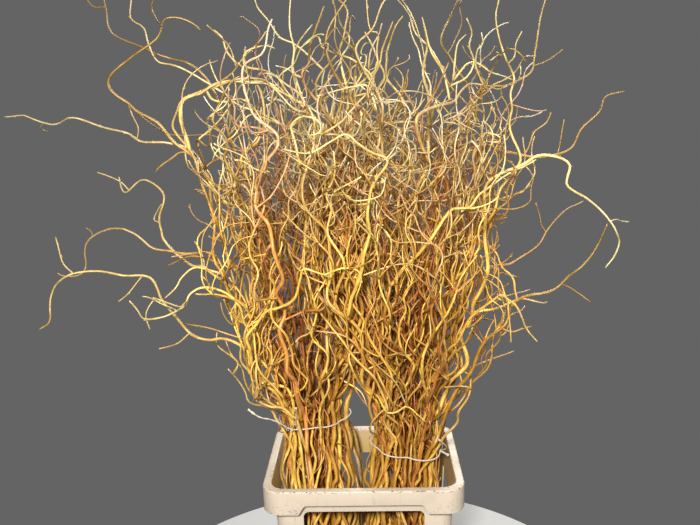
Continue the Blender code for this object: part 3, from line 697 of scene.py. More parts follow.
class Taken:
    """The space that stems, shoots and ties already fill, as round-ended segments."""

    def __init__(self) -> None:
        """Start with nothing taken."""
        self.starts = np.zeros((0, 3))
        self.ends = np.zeros((0, 3))
        self.radii = np.zeros(0)
        self.owners = np.zeros(0, int)

    def add(self, way: Points, radii: Points, owner: int = -1) -> None:
        """Fill the space along a way.

        Args:
            way: The middle line of what fills it.
            radii: Its radii.
            owner: The branch that it belongs to, if any.
        """
        self.starts = np.vstack((self.starts, way[:-1]))
        self.ends = np.vstack((self.ends, way[1:]))
        self.radii = np.concatenate((self.radii, np.maximum(radii[:-1], radii[1:])))
        self.owners = np.concatenate((self.owners, np.full(len(way) - 1, owner)))

    def room(self, way: Points, radii: Points, skip: int = -2) -> float:
        """The least gap between a way and all that is taken.

        Args:
            way: The middle line of what is to be laid.
            radii: Its radii.
            skip: The owner whose space doesn't count.

        Returns:
            The gap, or how far the search goes if nothing is near.
        """
        low = way.min(axis=0) - SEARCH
        high = way.max(axis=0) + SEARCH
        near = np.all((np.minimum(self.starts, self.ends) < high)
                      & (np.maximum(self.starts, self.ends) > low), axis=1) & (self.owners != skip)
        if not near.any():
            return SEARCH
        gaps = segment_distance(way[:-1], way[1:], self.starts[near], self.ends[near])
        reach = np.maximum(radii[:-1], radii[1:])
        return float((gaps - reach[:, None] - self.radii[near][None]).min())


@dataclass(frozen=True)
class Bunch:
    """One tied bunch: where its axis stands, how it spreads, and the ways its outer branches take.

    Args:
        name: Its side, as in the names of the solids.
        side: -1 for the left bunch and 1 for the right one.
        shift: How far its axis is moved along X.
        girth: How wide it is against the usual spread.
        tie_height: Where its tie runs at its axis.
        tie_slope: How much the tie rises for each metre along X.
        knot_angle: Where the knot sits, in degrees round the axis.
        tails: The tie's loose ends.
        ways: The outer branches' ways.
    """

    name: str
    side: int
    shift: float
    girth: float
    tie_height: float
    tie_slope: float
    knot_angle: float
    tails: list[list[Place]]
    ways: Ways

    @property
    def knot_step(self) -> int:
        """The number of the loop's point at the knot."""
        return round(self.knot_angle / 360 * TIE_POINTS) % TIE_POINTS

    @staticmethod
    def lane(number: int) -> Points:
        """A stem's place across the bunch, from the middle out in a golden spiral."""
        return np.array(polar(GOLDEN_ANGLE * number, math.sqrt((number + 0.5) / BRANCHES_PER_BUNCH)))

    def middle_and_spread(self, height: Points | float) -> tuple[Points, Points]:
        """Where the axis stands along X at a height, and how far out the bunch's edge lies from it."""
        middle = self.side * np.interp(height, BUNCH_HEIGHTS, BUNCH_AXIS) + self.shift
        return middle, self.girth * np.interp(height, BUNCH_HEIGHTS, BUNCH_SPREAD)

    def at(self, lane: Points | Span, height: float) -> Points:
        """Where a lane runs at a height."""
        middle, spread = self.middle_and_spread(height)
        return np.array((middle + spread * lane[0], spread * lane[1], height))

    def shares(self, points: Points) -> Points:
        """How far out each point lies across the bunch: 0 at its axis and 1 at its edge."""
        middle, spread = self.middle_and_spread(points[:, 2])
        return np.hypot(points[:, 0] - middle, points[:, 1]) / spread

    def owns(self, points: list[Place]) -> bool:
        """Whether listed points start on this bunch's side."""
        return (points[0][0] < 0) == (self.side < 0)

    def id_of(self, number: int) -> int:
        """A number that tells every branch of both bunches apart."""
        return number + (BRANCHES_PER_BUNCH if self.side > 0 else 0)


@dataclass
class Shoot:
    """A side shoot of a branch.

    Args:
        controls: The points its way goes through.
        root_radius: Its radius where it leaves the stem.
    """

    controls: Points
    root_radius: float


@dataclass
class Branch:
    """One branch: the control points, the way and the radii of its stem, and its shoots.

    Args:
        number: Its lane's number.
        controls: The points its stem goes through.
        root_radius: Its radius at the foot.
        away: How many of the points belong to a way of its own.
    """

    number: int
    controls: Points
    root_radius: float
    away: int = 0
    shoots: list[Shoot] = field(default_factory=list)

    def __post_init__(self) -> None:
        """Work out the way and radii of the solid's tube."""
        self.way = smooth_way(self.controls)
        self.radii = taper(self.way, self.root_radius)


@dataclass
class Planting:
    """Lays both bunches by seeded chance, as the solids are laid.

    Args:
        bunches: The bunches, the left one first.
    """

    bunches: tuple[Bunch, ...]
    branches: dict[str, list[Branch]] = field(default_factory=dict)
    loops: dict[str, Points] = field(default_factory=dict)

    def lay(self) -> None:
        """Lay every stem, then the ties, then every side shoot."""
        rng = random.Random(SEED)
        self.taken = Taken()
        for bunch in self.bunches:
            self.branches[bunch.name] = self.lay_stems(bunch, rng)
            self.loops[bunch.name] = self.tie_loop(bunch)
        for bunch in self.bunches:
            loop = self.loops[bunch.name]
            tails = [smooth_way(tail) for tail in self.tie_tails(bunch)]
            for way in [np.vstack((loop, loop[:1]))] + tails:
                self.taken.add(way, np.full(len(way), STRING_RADIUS))
        for bunch in self.bunches:
            for branch in self.branches[bunch.name]:
                self.lay_shoots(bunch, branch, rng)

    @staticmethod
    def stem_controls(bunch: Bunch, lane: Points, rng: random.Random, way: list[Place]) -> Points:
        """Control points of a stem: up its lane, swinging from side to side, then its own way.

        Args:
            bunch: Its bunch.
            lane: Its place across the bunch.
            rng: The seeded chance.
            way: The points of its own way.

        Returns:
            The points.
        """
        angle = rng.uniform(0.0, 2 * math.pi)
        drift = np.array((rng.uniform(-DRIFT, DRIFT), rng.uniform(-DRIFT, DRIFT)))
        top = RIM_TOP + rng.uniform(*CROWN_TOPS)
        pull = np.zeros(3)
        if way:
            drift *= 0.0
            top = way[0][2] - WAY_LEAD
            pull = np.array(way[0]) - bunch.at(lane, way[0][2])
        points = [bunch.at(lane, FOOT_HEIGHT)]
        height = FOOT_HEIGHT
        while True:
            height += np.interp(height, STEP_HEIGHTS, STEPS) * rng.uniform(*STEP_RANGE)
            if height > top:
                break
            above = max(height - bunch.tie_height, 0.0)
            angle += math.pi + rng.uniform(-1.0, 1.0)
            swing = np.interp(height - bunch.tie_height, SWAY_HEIGHTS, SWAYS) * rng.uniform(*SWAY_RANGE)
            place = bunch.at(lane + drift * min(above / DRIFT_HEIGHT, 1.0), height)
            place[:2] += polar(angle, swing)
            if way:
                place += pull * (above / (way[0][2] - bunch.tie_height)) ** 2
            points.append(place)
        points.extend(np.array(point) for point in way)
        return np.round(np.array(points), 5)

    def lay_stem(self, bunch: Bunch, number: int, rng: random.Random, way: list[Place]) -> Branch:
        """Try seeded ways for one stem and keep the first that is free.

        Args:
            bunch: Its bunch.
            number: Its lane's number.
            rng: The seeded chance.
            way: The points of its own way.

        Returns:
            The branch, without shoots.
        """
        lane = bunch.lane(number)
        best_room, best = -1.0, None
        for _ in range(TRIES):
            controls = self.stem_controls(bunch, lane, rng, way)
            branch = Branch(number, controls, rng.uniform(*STEM_RADII), len(way))
            room = self.taken.room(branch.way, branch.radii)
            if room > best_room:
                best_room, best = room, branch
            if room >= GAP:
                break
        return best

    def lay_stems(self, bunch: Bunch, rng: random.Random) -> list[Branch]:
        """Lay a bunch's stems: first those with a way of their own, in the nearest lanes.

        Args:
            bunch: The bunch.
            rng: The seeded chance.

        Returns:
            Its branches, in the order of their lanes.
        """
        free = list(range(BRANCHES_PER_BUNCH))
        branches = []
        for way in list(bunch.ways.values()) + [()] * (BRANCHES_PER_BUNCH - len(bunch.ways)):
            way = [tuple(value / 100 for value in point) for point in way]
            number = free[0]
            if way:
                number = min(free, key=lambda lane: round(float(np.abs(
                    bunch.at(bunch.lane(lane), way[0][2]) - np.array(way[0])).sum()), 4))
            free.remove(number)
            branch = self.lay_stem(bunch, number, rng, way)
            self.taken.add(branch.way, branch.radii, bunch.id_of(number))
            branches.append(branch)
        return sorted(branches, key=lambda branch: branch.number)

    def tie_loop(self, bunch: Bunch) -> Points:
        """The closed way of a tie: just outside the stems, all round the bunch.

        Args:
            bunch: The bunch that it ties.

        Returns:
            Its points, the first one not repeated.
        """
        middle = bunch.at(np.zeros(2), bunch.tie_height)
        crossings = []
        for branch in self.branches[bunch.name]:
            x, y, z = branch.way.T
            for rise in (-TIE_BAND, 0.0, TIE_BAND):
                out = np.interp(bunch.tie_height, z, x) - middle[0]
                height = bunch.tie_height + bunch.tie_slope * out + rise
                crossings.append((np.interp(height, z, x) - middle[0], np.interp(height, z, y) - middle[1],
                                  np.interp(height, z, branch.radii)))
        x, y, radii = np.array(crossings).T
        way = []
        for step in range(TIE_POINTS):
            out_x, out_y = polar(2 * math.pi * step / TIE_POINTS)
            reach = float((x * out_x + y * out_y + radii).max()) + STRING_RADIUS + TIE_EASE
            way.append(middle + reach * np.array((out_x, out_y, bunch.tie_slope * out_x)))
        return np.round(np.array(way), 5)

    def knot(self, bunch: Bunch) -> Points:
        """Where a tie's knot sits."""
        place = self.loops[bunch.name][bunch.knot_step]
        return place + unit(place - bunch.at(np.zeros(2), bunch.tie_height)) * STRING_RADIUS

    def tie_tails(self, bunch: Bunch) -> list[Points]:
        """The points of the two loose ends that leave a knot."""
        knot = self.knot(bunch)
        return [np.vstack([knot] + [np.array(point) / 100 for point in tail]) for tail in bunch.tails]

    @staticmethod
    def shoot_controls(bunch: Bunch, branch: Branch, at: int, rng: random.Random) -> Points:
        """Control points of a side shoot: out from its stem, then up in a zigzag.

        Args:
            bunch: Its bunch.
            branch: The branch that bears it.
            at: The number of the way's point that it leaves.
            rng: The seeded chance.

        Returns:
            The points, the first one on the stem.
        """
        root = branch.way[at]
        run = unit(branch.way[at + 1] - branch.way[at - 1])
        outward = root - bunch.at((0.0, 0.0), root[2])
        aside = np.array((*polar(rng.uniform(0.0, 2 * math.pi)), rng.uniform(*SHOOT_RISE)))
        aside += SHOOT_OUTWARD * outward
        aside = unit(aside - run * (aside * run).sum())
        heading = SHOOT_FORWARD * run + aside
        on_own_way = at >= len(branch.way) - 2 * branch.away
        length = rng.uniform(*SHOOT_LENGTHS) * (OWN_WAY_SHARE if on_own_way else 1.0)
        points = [root]
        for step in range(2 if on_own_way else 3):
            points.append(points[-1] + unit(heading) * length * (FIRST_SPAN_SHARE if step == 0 else 1.0))
            heading = unit(heading) + np.array([rng.uniform(-SHOOT_TURN, SHOOT_TURN) for _ in range(3)])
            heading[2] += SHOOT_LIFT
        return np.round(np.array(points), 5)

    def lay_shoots(self, bunch: Bunch, branch: Branch, rng: random.Random) -> None:
        """Add side shoots to a branch, each where its way is free.

        Args:
            bunch: Its bunch.
            branch: The branch.
            rng: The seeded chance.
        """
        owner = bunch.id_of(branch.number)
        first = int(np.searchsorted(branch.way[:, 2], bunch.tie_height + LOWEST_SHOOT))
        own = Taken()
        own.add(branch.way, branch.radii)
        span = (len(branch.way) - 3 - first) / SHOOTS_PER_BRANCH
        for shoot in range(SHOOTS_PER_BRANCH):
            for _ in range(TRIES):
                at = first + int(span * (shoot + rng.random()))
                controls = self.shoot_controls(bunch, branch, at, rng)
                way = smooth_way(controls)
                root_radius = max(SHOOT_SHARE * branch.radii[at], TIP_RADIUS)
                radii = taper(way, root_radius)
                if (self.taken.room(way, radii, skip=owner) >= GAP
                        and own.room(way[2:], radii[2:]) >= GAP and way[:, 2].max() < CROWN_LIMIT):
                    break
            else:
                continue
            self.taken.add(way, radii, owner)
            own.add(way, radii)
            branch.shoots.append(Shoot(controls, root_radius))


# Tubes of wood and twine


@dataclass
class Tube:
    """A round closed tube along a way.

    Args:
        way: Its middle line.
        radii: Its radius at each point.
        sides: How many sides it has.
        tint: Where its colour lies between golden and red-brown, from 0 to 1.
        tone: How light it is.
        strip: The strip of the picture map that it fills, or shares with the tube that bears it.
        start: How far along that strip it sits, for one that shares it.
    """

    way: Points
    radii: Points
    sides: int
    tint: float = 0.0
    tone: float = 1.0
    strip: int = 0
    start: float | None = None

    def frames(self) -> tuple[Points, Points]:
        """Two directions across the way at each point, carried along without twist.

        Returns:
            The first directions and the second ones, square to each other.
        """
        runs = np.gradient(self.way, axis=0)
        runs /= np.linalg.norm(runs, axis=1)[:, None]
        start = UP if abs(runs[0][2]) < 0.9 else np.array((1.0, 0.0, 0.0))
        across = unit(np.cross(runs[0], start))
        first = []
        for run in runs:
            across = unit(across - run * (across * run).sum())
            first.append(across)
        first = np.array(first)
        return first, np.cross(runs, first)

    def rings(self) -> tuple[Points, Points]:
        """The vertices, ring by ring.

        Returns:
            The vertices, and each one's place on the straightened tube.
        """
        first, second = self.frames()
        angles = np.arange(self.sides) * 2 * math.pi / self.sides
        cosines, sines = np.cos(angles), np.sin(angles)
        ring = cosines[None, :, None] * first[:, None] + sines[None, :, None] * second[:, None]
        verts = self.way[:, None] + self.radii[:, None, None] * ring
        place = np.empty_like(verts)
        place[..., 0] = self.radii[:, None] * cosines[None]
        place[..., 1] = self.radii[:, None] * sines[None]
        place[..., 2] = lengths_along(self.way)[:, None]
        return verts.reshape(-1, 3), place.reshape(-1, 3)

    def quads(self) -> Points:
        """The faces between the rings.

        Returns:
            The numbers of each face's four vertices.
        """
        rows = np.arange(len(self.way) - 1)[:, None] * self.sides
        here = rows + np.arange(self.sides)[None]
        there = rows + (np.arange(self.sides)[None] + 1) % self.sides
        return np.stack((here, there, there + self.sides, here + self.sides), axis=2).reshape(-1, 4)


def write_attribute(mesh: bpy.types.Mesh, name: str, values: Points) -> None:
    """Store a number or a vector for each vertex of a mesh.

    Args:
        mesh: The mesh.
        name: The attribute's name.
        values: A number or a row of three for each vertex.
    """
    kind, part = ("FLOAT", "value") if values.ndim == 1 else ("FLOAT_VECTOR", "vector")
    attribute = mesh.attributes.new(name, kind, "POINT")
    attribute.data.foreach_set(part, values.astype(np.float32).ravel())


def link_object(name: str, data: bpy.types.ID) -> Object:
    """Put a new object into the scene.

    Args:
        name: Its name.
        data: The mesh, light or camera that it holds.

    Returns:
        The object.
    """
    made = bpy.data.objects.new(name, data)
    bpy.context.scene.collection.objects.link(made)
    return made


class TubeMesh:
    """Gathers tubes and turns them into one mesh with the attributes of its grain and wood."""

    # How old bark looks: full from the radius THICK on, and less where the crown is pale
    THICK = 0.0052
    THIN = 0.0011
    AGE_POWER = 0.7
    THICK_SHARE = 0.45
    LOW_SHARE = 0.95
    PALE_FROM = 0.86
    PALE_OVER = 0.40
    ASTRAY_AGE = 0.25
    # How light and how red it is: painted shade, darker and redder deep inside the bunch and darker on twigs
    # that go astray; lighter at middle heights than at the top
    PAINTED_SHADE_HEIGHTS = (1.0, 1.25)
    OUTER_TONE = 1.08
    PAINTED_SHADE_TONE = 0.68
    PAINTED_SHADE_TINT = 0.45
    ASTRAY_PAINTED_SHADE = 0.80
    TONE_HEIGHTS = (0.70, 0.88, 1.10, 1.26)
    HEIGHT_TONES = (1.0, 1.14, 1.10, 0.88)
    # The picture map: each tube's strip leaves a margin of its band, and a bud takes a little of a strip
    MARGIN = 0.06
    FILL = 0.88
    BUD_SHARE = 0.004
    GRAIN_STARTS = 9.0

    def __init__(self, bunch: Bunch) -> None:
        """Start with no tubes.

        Args:
            bunch: The bunch that the wood belongs to.
        """
        self.bunch = bunch
        self.tubes: list[Tube] = []
        self.strips = 0

    def add(self, tube: Tube) -> Tube:
        """Take a tube in with a strip of its own.

        Args:
            tube: The tube.

        Returns:
            The same tube.
        """
        tube.strip = self.strips
        self.strips += 1
        self.tubes.append(tube)
        return tube

    def add_on(self, tube: Tube, bearer: Tube, start: float) -> None:
        """Take in a small tube that shares the strip of its bearer."""
        tube.strip, tube.start = bearer.strip, start
        self.tubes.append(tube)

    def looks(self, tube: Tube, verts: Points) -> Points:
        """The looks of a tube's wood at each vertex, with painted shade: darker and redder deep inside the
        bunch, darker on twigs astray.

        Args:
            tube: The tube.
            verts: Its vertices.

        Returns:
            Three rows: how old, how red and how light it is, painted shade included.
        """
        radii = np.repeat(tube.radii, tube.sides)
        share = self.bunch.shares(verts)
        thick = np.clip((radii - self.THIN) / (self.THICK - self.THIN), 0.0, 1.0) ** self.AGE_POWER
        low = 1.0 - np.clip((verts[:, 2] - self.PALE_FROM) / self.PALE_OVER, 0.0, 1.0)
        ages = np.minimum(self.THICK_SHARE * thick + self.LOW_SHARE * low, 1.0)
        ages = ages * np.interp(share, (1.0, 1.6), (1.0, self.ASTRAY_AGE))
        # painted shade: deep inside the bunch, below the heights where it fades, the wood is darker and
        # redder
        painted_shade = np.clip(1.0 - share, 0.0, 1.0) * np.interp(verts[:, 2], self.PAINTED_SHADE_HEIGHTS, (1.0, 0.0))
        tints = np.clip(tube.tint + self.PAINTED_SHADE_TINT * painted_shade, 0.0, 1.0)
        # painted shade: twigs that stand out of the crown are darker; the height tones then make middle
        # heights lighter than the top
        painted_astray_shade_and_height_tone = np.interp(share, (1.0, 1.5), (1.0, self.ASTRAY_PAINTED_SHADE))
        painted_astray_shade_and_height_tone *= np.interp(verts[:, 2], self.TONE_HEIGHTS, self.HEIGHT_TONES)
        tones = tube.tone * (self.OUTER_TONE - (self.OUTER_TONE - self.PAINTED_SHADE_TONE) * painted_shade) * painted_astray_shade_and_height_tone
        return np.vstack((ages, tints, tones))

    def build(self, name: str, material: Material, rng: random.Random) -> Object:
        """Make the mesh object.

        Args:
            name: The piece's name.
            material: Its finish.
            rng: Gives each tube a start along the grain, so that no two look alike.

        Returns:
            The object, linked to the scene.
        """
        verts, faces, places, looks, maps = [], [], [], [], []
        base = 0
        for tube in self.tubes:
            points, place = tube.rings()
            quads = tube.quads()
            count = len(points)
            ends = [list(range(tube.sides))[::-1], list(range(count - tube.sides, count))]
            faces.extend((quads + base).tolist())
            faces.extend([[base + corner for corner in end] for end in ends])
            maps.append(self.strip_map(tube, quads, place[:, 2], ends))
            verts.append(points)
            looks.append(self.looks(tube, points))
            place[:, 2] += rng.uniform(0.0, self.GRAIN_STARTS)
            places.append(place)
            base += count
        mesh = bpy.data.meshes.new(name)
        mesh.from_pydata(np.vstack(verts).tolist(), [], faces)
        write_attribute(mesh, "grain_place", np.vstack(places))
        for key, values in zip(("wood_age", "wood_tint", "wood_tone"), np.hstack(looks)):
            write_attribute(mesh, key, values)
        layer = mesh.uv_layers.new(name="OFBake")
        layer.data.foreach_set("uv", np.concatenate(maps).astype(np.float32).ravel())
        mesh.materials.append(material)
        mesh.shade_smooth()
        return link_object(name, mesh)

    def strip_map(self, tube: Tube, quads: Points, along: Points, ends: list[list[int]]) -> Points:
        """Lay a tube's faces out as one strip: its length along U, its girth across a band of V.

        Args:
            tube: The tube.
            quads: Its faces between the rings.
            along: How far along it each vertex lies.
            ends: The vertices of its two end faces.

        Returns:
            The place on the map of each corner of each face.
        """
        band = 1.0 / self.strips
        share = along / along[-1]
        if tube.start is not None:
            share = tube.start + self.BUD_SHARE * share
        side = quads[:, 0] % tube.sides
        low, high = ((tube.strip + self.MARGIN + self.FILL * step / tube.sides) * band
                     for step in (side, side + 1))
        corners = [np.stack((share[quads], np.column_stack((low, high, high, low))), axis=2).reshape(-1, 2)]
        for end in ends:
            across = (tube.strip + self.MARGIN + self.FILL * np.arange(len(end)) / len(end)) * band
            corners.append(np.column_stack((share[end], across)))
        return np.vstack(corners)


# Fine growth


@dataclass
class Grower:
    """Turns a planted bunch into fine wood: curled stems, shoots, twigs on twigs, and buds.

    Args:
        bunch: The bunch that it grows.
        rng: The seeded chance that all its draws come from.
    """

    bunch: Bunch
    rng: random.Random
    # Stems and shoots
    stem_step: float = 0.0070
    stem_curl: float = 0.0085
    shoot_curl: float = 0.0060
    curl_spans: Span = (0.030, 0.065)
    curl_reach: Span = (0.4, 1.2)
    curl_rise: Span = (-0.8, 0.8)
    curl_wobble: float = 1.1
    root_calm: float = 0.04
    tie_calm: Span = (0.006, 0.030)
    calm: float = 0.25
    stoutness: float = 0.62
    node_gaps: Span = (0.045, 0.065)
    node_swell: float = 0.10
    settle: float = 0.03
    # Twigs
    twig_step: float = 0.0085
    longest_twig: float = 0.54
    twig_lengths: Span = (0.35, 1.0)
    least_twig: float = 0.04
    twig_radii: Span = (0.0018, 0.0031)
    twig_spacing: Span = (0.23, 0.38)
    twig_gaps: Span = (0.6, 1.4)
    twig_tip: float = 0.0011
    full_length: float = 0.25
    root_swell: Span = (1.30, 1.10)
    twig_rise: Span = (-0.3, 0.6)
    twig_slant: Span = (0.5, 1.7)
    twig_bends: Span = (0.026, 0.062)
    bend_reach: Span = (0.40, 1.10)
    bend_wobble: float = 1.2
    bow: float = 7.0
    bow_range: Span = (0.1, 1.0)
    light_pull: float = 0.055
    edge_pull: Span = (0.4, 2.0)
    fork_sizes: tuple[int, ...] = (1, 2, 3, 4)
    fork_weights: tuple[int, ...] = (6, 4, 2, 1)
    side_twig_spacing: float = 0.22
    side_twig_share: float = 0.45
    bearing_length: float = 0.09
    # Listed twigs, and the red ones low between the stems
    lone_curl: float = 0.0030
    lone_twigs: float = 6.0
    lone_longest: float = 0.14
    lone_tint: float = 0.4
    lone_tones: Span = (0.9, 1.2)
    low_twig_lengths: Span = (0.10, 0.28)
    low_twig_radii: Span = (0.0010, 0.0017)
    low_twig_tints: Span = (0.55, 1.0)
    # How twigs change with height: how straight they rise, how many grow, how they wind, bow and stand off
    rise_heights: tuple[float, ...] = (0.70, 0.85, 1.05, 1.20)
    rises: tuple[float, ...] = (1.6, 1.0, 0.45, 0.0, -2.6)
    vigour_heights: tuple[float, ...] = (0.96, 1.06, 1.16, 1.26)
    vigours: tuple[float, ...] = (1.0, 0.52, 0.10, 0.02)
    astray_vigour: float = 0.13
    winding_heights: Place = (0.75, 0.95, 1.15)
    windings: Place = (0.75, 1.0, 1.3)
    bow_heights: Span = (0.70, 0.95)
    bow_shares: Span = (0.5, 1.0)
    slant_heights: Span = (0.80, 1.10)
    slant_shares: Span = (0.7, 1.0)
    # All wood
    tones: Span = (0.48, 1.22)
    tint_change: float = 0.25
    top: float = 1.30
    # Buds: the run and the reach of each point of their ways, and their radii there
    bud_spacing: Span = (0.050, 0.090)
    bud_start: Span = (0.02, 0.05)
    bud_wobble: float = 0.7
    bud_sizes: Span = (0.8, 1.2)
    bud_way: tuple[Span, ...] = ((-0.0010, 0.0), (0.0022, 0.0011), (0.0058, 0.0014))
    bud_radii: Place = (0.0006, 0.0012, 0.0003)

    def any_turn(self) -> float:
        """A turn by chance."""
        return self.rng.uniform(0.0, 2 * math.pi)

    def other_side(self, wobble: float) -> float:
        """About half a turn."""
        return math.pi + self.rng.uniform(-wobble, wobble)

    def curled(self, way: Points, curl: float) -> Points:
        """A way with small irregular curls, which fade out at its root and at the tie.

        Args:
            way: The way.
            curl: How far the curls reach.

        Returns:
            As many points.
        """
        along = lengths_along(way)
        knots = [0.0]
        while knots[-1] < along[-1]:
            knots.append(knots[-1] + self.rng.uniform(*self.curl_spans))
        offsets, angle = [], self.any_turn()
        for _ in knots:
            angle += self.other_side(self.curl_wobble)
            reach = curl * self.rng.uniform(*self.curl_reach)
            rise = reach * self.rng.uniform(*self.curl_rise)
            offsets.append((*polar(angle, reach), rise))
        smooth = catmull_rom(np.array(offsets), (0.25, 0.5, 0.75, 1.0))[:-1]
        stations = np.interp(np.arange(len(smooth)) / 4, np.arange(len(knots)), knots)
        bends = np.column_stack([np.interp(along, stations, axis) for axis in smooth.T])
        off_tie = np.abs(way[:, 2] - self.bunch.tie_height) - self.tie_calm[0]
        fade = np.clip(along / self.root_calm, 0.0, 1.0)
        fade *= np.clip(off_tie / self.tie_calm[1], self.calm, 1.0)
        return way + bends * fade[:, None]

    def fine_radii(self, way: Points, root_radius: float, power: float) -> Points:
        """Tapering radii that swell a little at the nodes.

        Args:
            way: The wood's middle line.
            root_radius: The radius at its start.
            power: How early it thins.

        Returns:
            The radius at each point.
        """
        pitch = self.rng.uniform(*self.node_gaps)
        phase = self.rng.uniform(0.0, pitch)
        wave = np.cos(2 * math.pi * (lengths_along(way) - phase) / pitch)
        swell = 1.0 + self.node_swell * np.maximum(wave, 0.0) ** 6
        return taper(way, root_radius, TIP_RADIUS, power) * swell

    def outward(self, place: Points) -> tuple[Points, float]:
        """Where the bunch's outside is from a place.

        Args:
            place: The place.

        Returns:
            The direction away from the axis, and how far out the place lies: 1 at the crown's edge.
        """
        middle, edge = self.bunch.middle_and_spread(place[2])
        away = place - (middle, 0.0, place[2])
        reach = max(math.hypot(away[0], away[1]), 1e-4)
        return away / reach, reach / edge

    def pull(self, place: Points) -> Points:
        """What bends a twig: light from above, and the crown's edge and top.

        Args:
            place: Where the twig is.

        Returns:
            The pull, as a vector.
        """
        out, share = self.outward(place)
        rise = np.interp(place[2], (*self.rise_heights, self.top), self.rises)
        return rise * UP + out * (self.edge_pull[0] - self.edge_pull[1] * min(share, 1.5) ** 3)

    def vigour(self, place: Points) -> float:
        """How many twigs grow at a place: fewer in the top and past the crown's edge.

        Args:
            place: The place.

        Returns:
            A share from 0 to 1.
        """
        _, share = self.outward(place)
        high = np.interp(place[2], self.vigour_heights, self.vigours)
        return float(high * np.interp(share, (1.0, 1.3), (1.0, self.astray_vigour)))

    def twig_way(self, root: Points, heading: Points, length: float) -> Points:
        """A twig's middle line: it winds about a heading that bends up and stays in the crown.

        Args:
            root: Where it starts.
            heading: Where it heads for at first.
            length: Its length.

        Returns:
            The points of the line.
        """
        bends, swings, angle = [0.0], [(0.0, 0.0)], self.any_turn()
        while bends[-1] < length:
            bends.append(bends[-1] + self.rng.uniform(*self.twig_bends))
            angle += self.other_side(self.bend_wobble)
            swings.append(polar(angle, self.rng.uniform(*self.bend_reach)))
        steps = max(int(length / self.twig_step), 4)
        along = (np.arange(steps) + 0.5) * length / steps
        winding = np.interp(root[2], self.winding_heights, self.windings)
        swing_a, swing_b = (winding * np.interp(along, bends, part) for part in np.array(swings).T)
        mean = unit(heading)
        across = unit(np.cross(mean, ASKEW))
        bow = self.bow * self.rng.uniform(*self.bow_range) * length / steps
        bow *= np.interp(root[2], self.bow_heights, self.bow_shares)
        turn = self.any_turn()
        way = [root]
        for turn_a, turn_b in zip(swing_a, swing_b):
            side = math.cos(turn) * across + math.sin(turn) * np.cross(mean, across)
            mean = unit(mean + self.light_pull * self.pull(way[-1]) + bow * side)
            across = unit(across - mean * (across * mean).sum())
            heading = unit(mean + turn_a * across + turn_b * np.cross(mean, across))
            way.append(way[-1] + heading * length / steps)
        return np.array(way)

    def twigs_on(self, bearer: Tube, wood: TubeMesh, low: float, count: float, longest: float,
                 depth: int) -> None:
        """Grow twigs along a bearer.

        Args:
            bearer: The stem, shoot or twig that they grow on.
            wood: Takes their tubes in.
            low: The height below which none grows.
            count: How many grow for each metre.
            longest: The length of the longest one.
            depth: How many more orders of twigs may grow on them.
        """
        along = lengths_along(bearer.way)
        place = self.rng.uniform(0.3, 1.0) / count
        while place < along[-1] * 0.97:
            at = min(int(np.searchsorted(along, place)), len(along) - 2)
            place += self.rng.uniform(*self.twig_gaps) / count
            root = bearer.way[at]
            if root[2] < low or at == 0 or self.rng.random() > self.vigour(root):
                continue
            for _ in range(self.rng.choices(self.fork_sizes, self.fork_weights)[0]):
                length = longest * self.rng.uniform(*self.twig_lengths) * (0.4 + 0.6 * self.vigour(root))
                length = min(length, max(1.3 * (self.top - root[2]), self.least_twig))
                twig = self.twig(bearer, at, length)
                wood.add(twig)
                self.buds_on(twig, wood)
                if depth > 0 and length > self.bearing_length:
                    self.twigs_on(twig, wood, low, 1.0 / self.side_twig_spacing,
                                  self.side_twig_share * length, depth - 1)

    def twig(self, bearer: Tube, at: int, length: float) -> Tube:
        """One twig.

        Args:
            bearer: The stem, shoot or twig that it grows on.
            at: The number of the bearer's point that it leaves.
            length: Its length.

        Returns:
            Its tube.
        """
        run = unit(bearer.way[at + 1] - bearer.way[at - 1])
        aside = np.array((*polar(self.any_turn()), self.rng.uniform(*self.twig_rise)))
        aside = unit(aside - run * (aside * run).sum())
        aside *= self.rng.uniform(*self.twig_slant)
        aside *= np.interp(bearer.way[at][2], self.slant_heights, self.slant_shares)
        way = self.twig_way(bearer.way[at], run + aside, length)
        radius = min(self.rng.uniform(*self.twig_radii), 0.9 * bearer.radii[at])
        radius *= 0.7 + 0.3 * min(length / self.full_length, 1.0)
        radii = taper(way, max(radius, self.twig_tip), self.twig_tip)
        radii[:2] *= self.root_swell
        tint = bearer.tint + self.rng.uniform(-self.tint_change, self.tint_change)
        return Tube(way, radii, 5, min(max(tint, 0.0), 1.0), self.rng.uniform(*self.tones))

    def buds_on(self, bearer: Tube, wood: TubeMesh) -> None:
        """Set buds along a bearer, on one side and then the other.

        Args:
            bearer: The wood that bears them.
            wood: Takes their tubes in.
        """
        along = lengths_along(bearer.way)
        first, second = bearer.frames()
        angle = self.any_turn()
        place = self.rng.uniform(*self.bud_start)
        while place < along[-1] - 0.01:
            at = int(np.searchsorted(along, place))
            place += self.rng.uniform(*self.bud_spacing)
            angle += self.other_side(self.bud_wobble)
            side = math.cos(angle) * first[at] + math.sin(angle) * second[at]
            run = unit(bearer.way[at] - bearer.way[at - 1])
            size = self.rng.uniform(*self.bud_sizes)
            way = np.array([bearer.way[at] + run * rise * size + side * (bearer.radii[at] * 0.5 + out * size)
                            for rise, out in self.bud_way])
            bud = Tube(way, np.array(self.bud_radii) * size, 3, bearer.tint, bearer.tone)
            wood.add_on(bud, bearer, along[at] / along[-1])

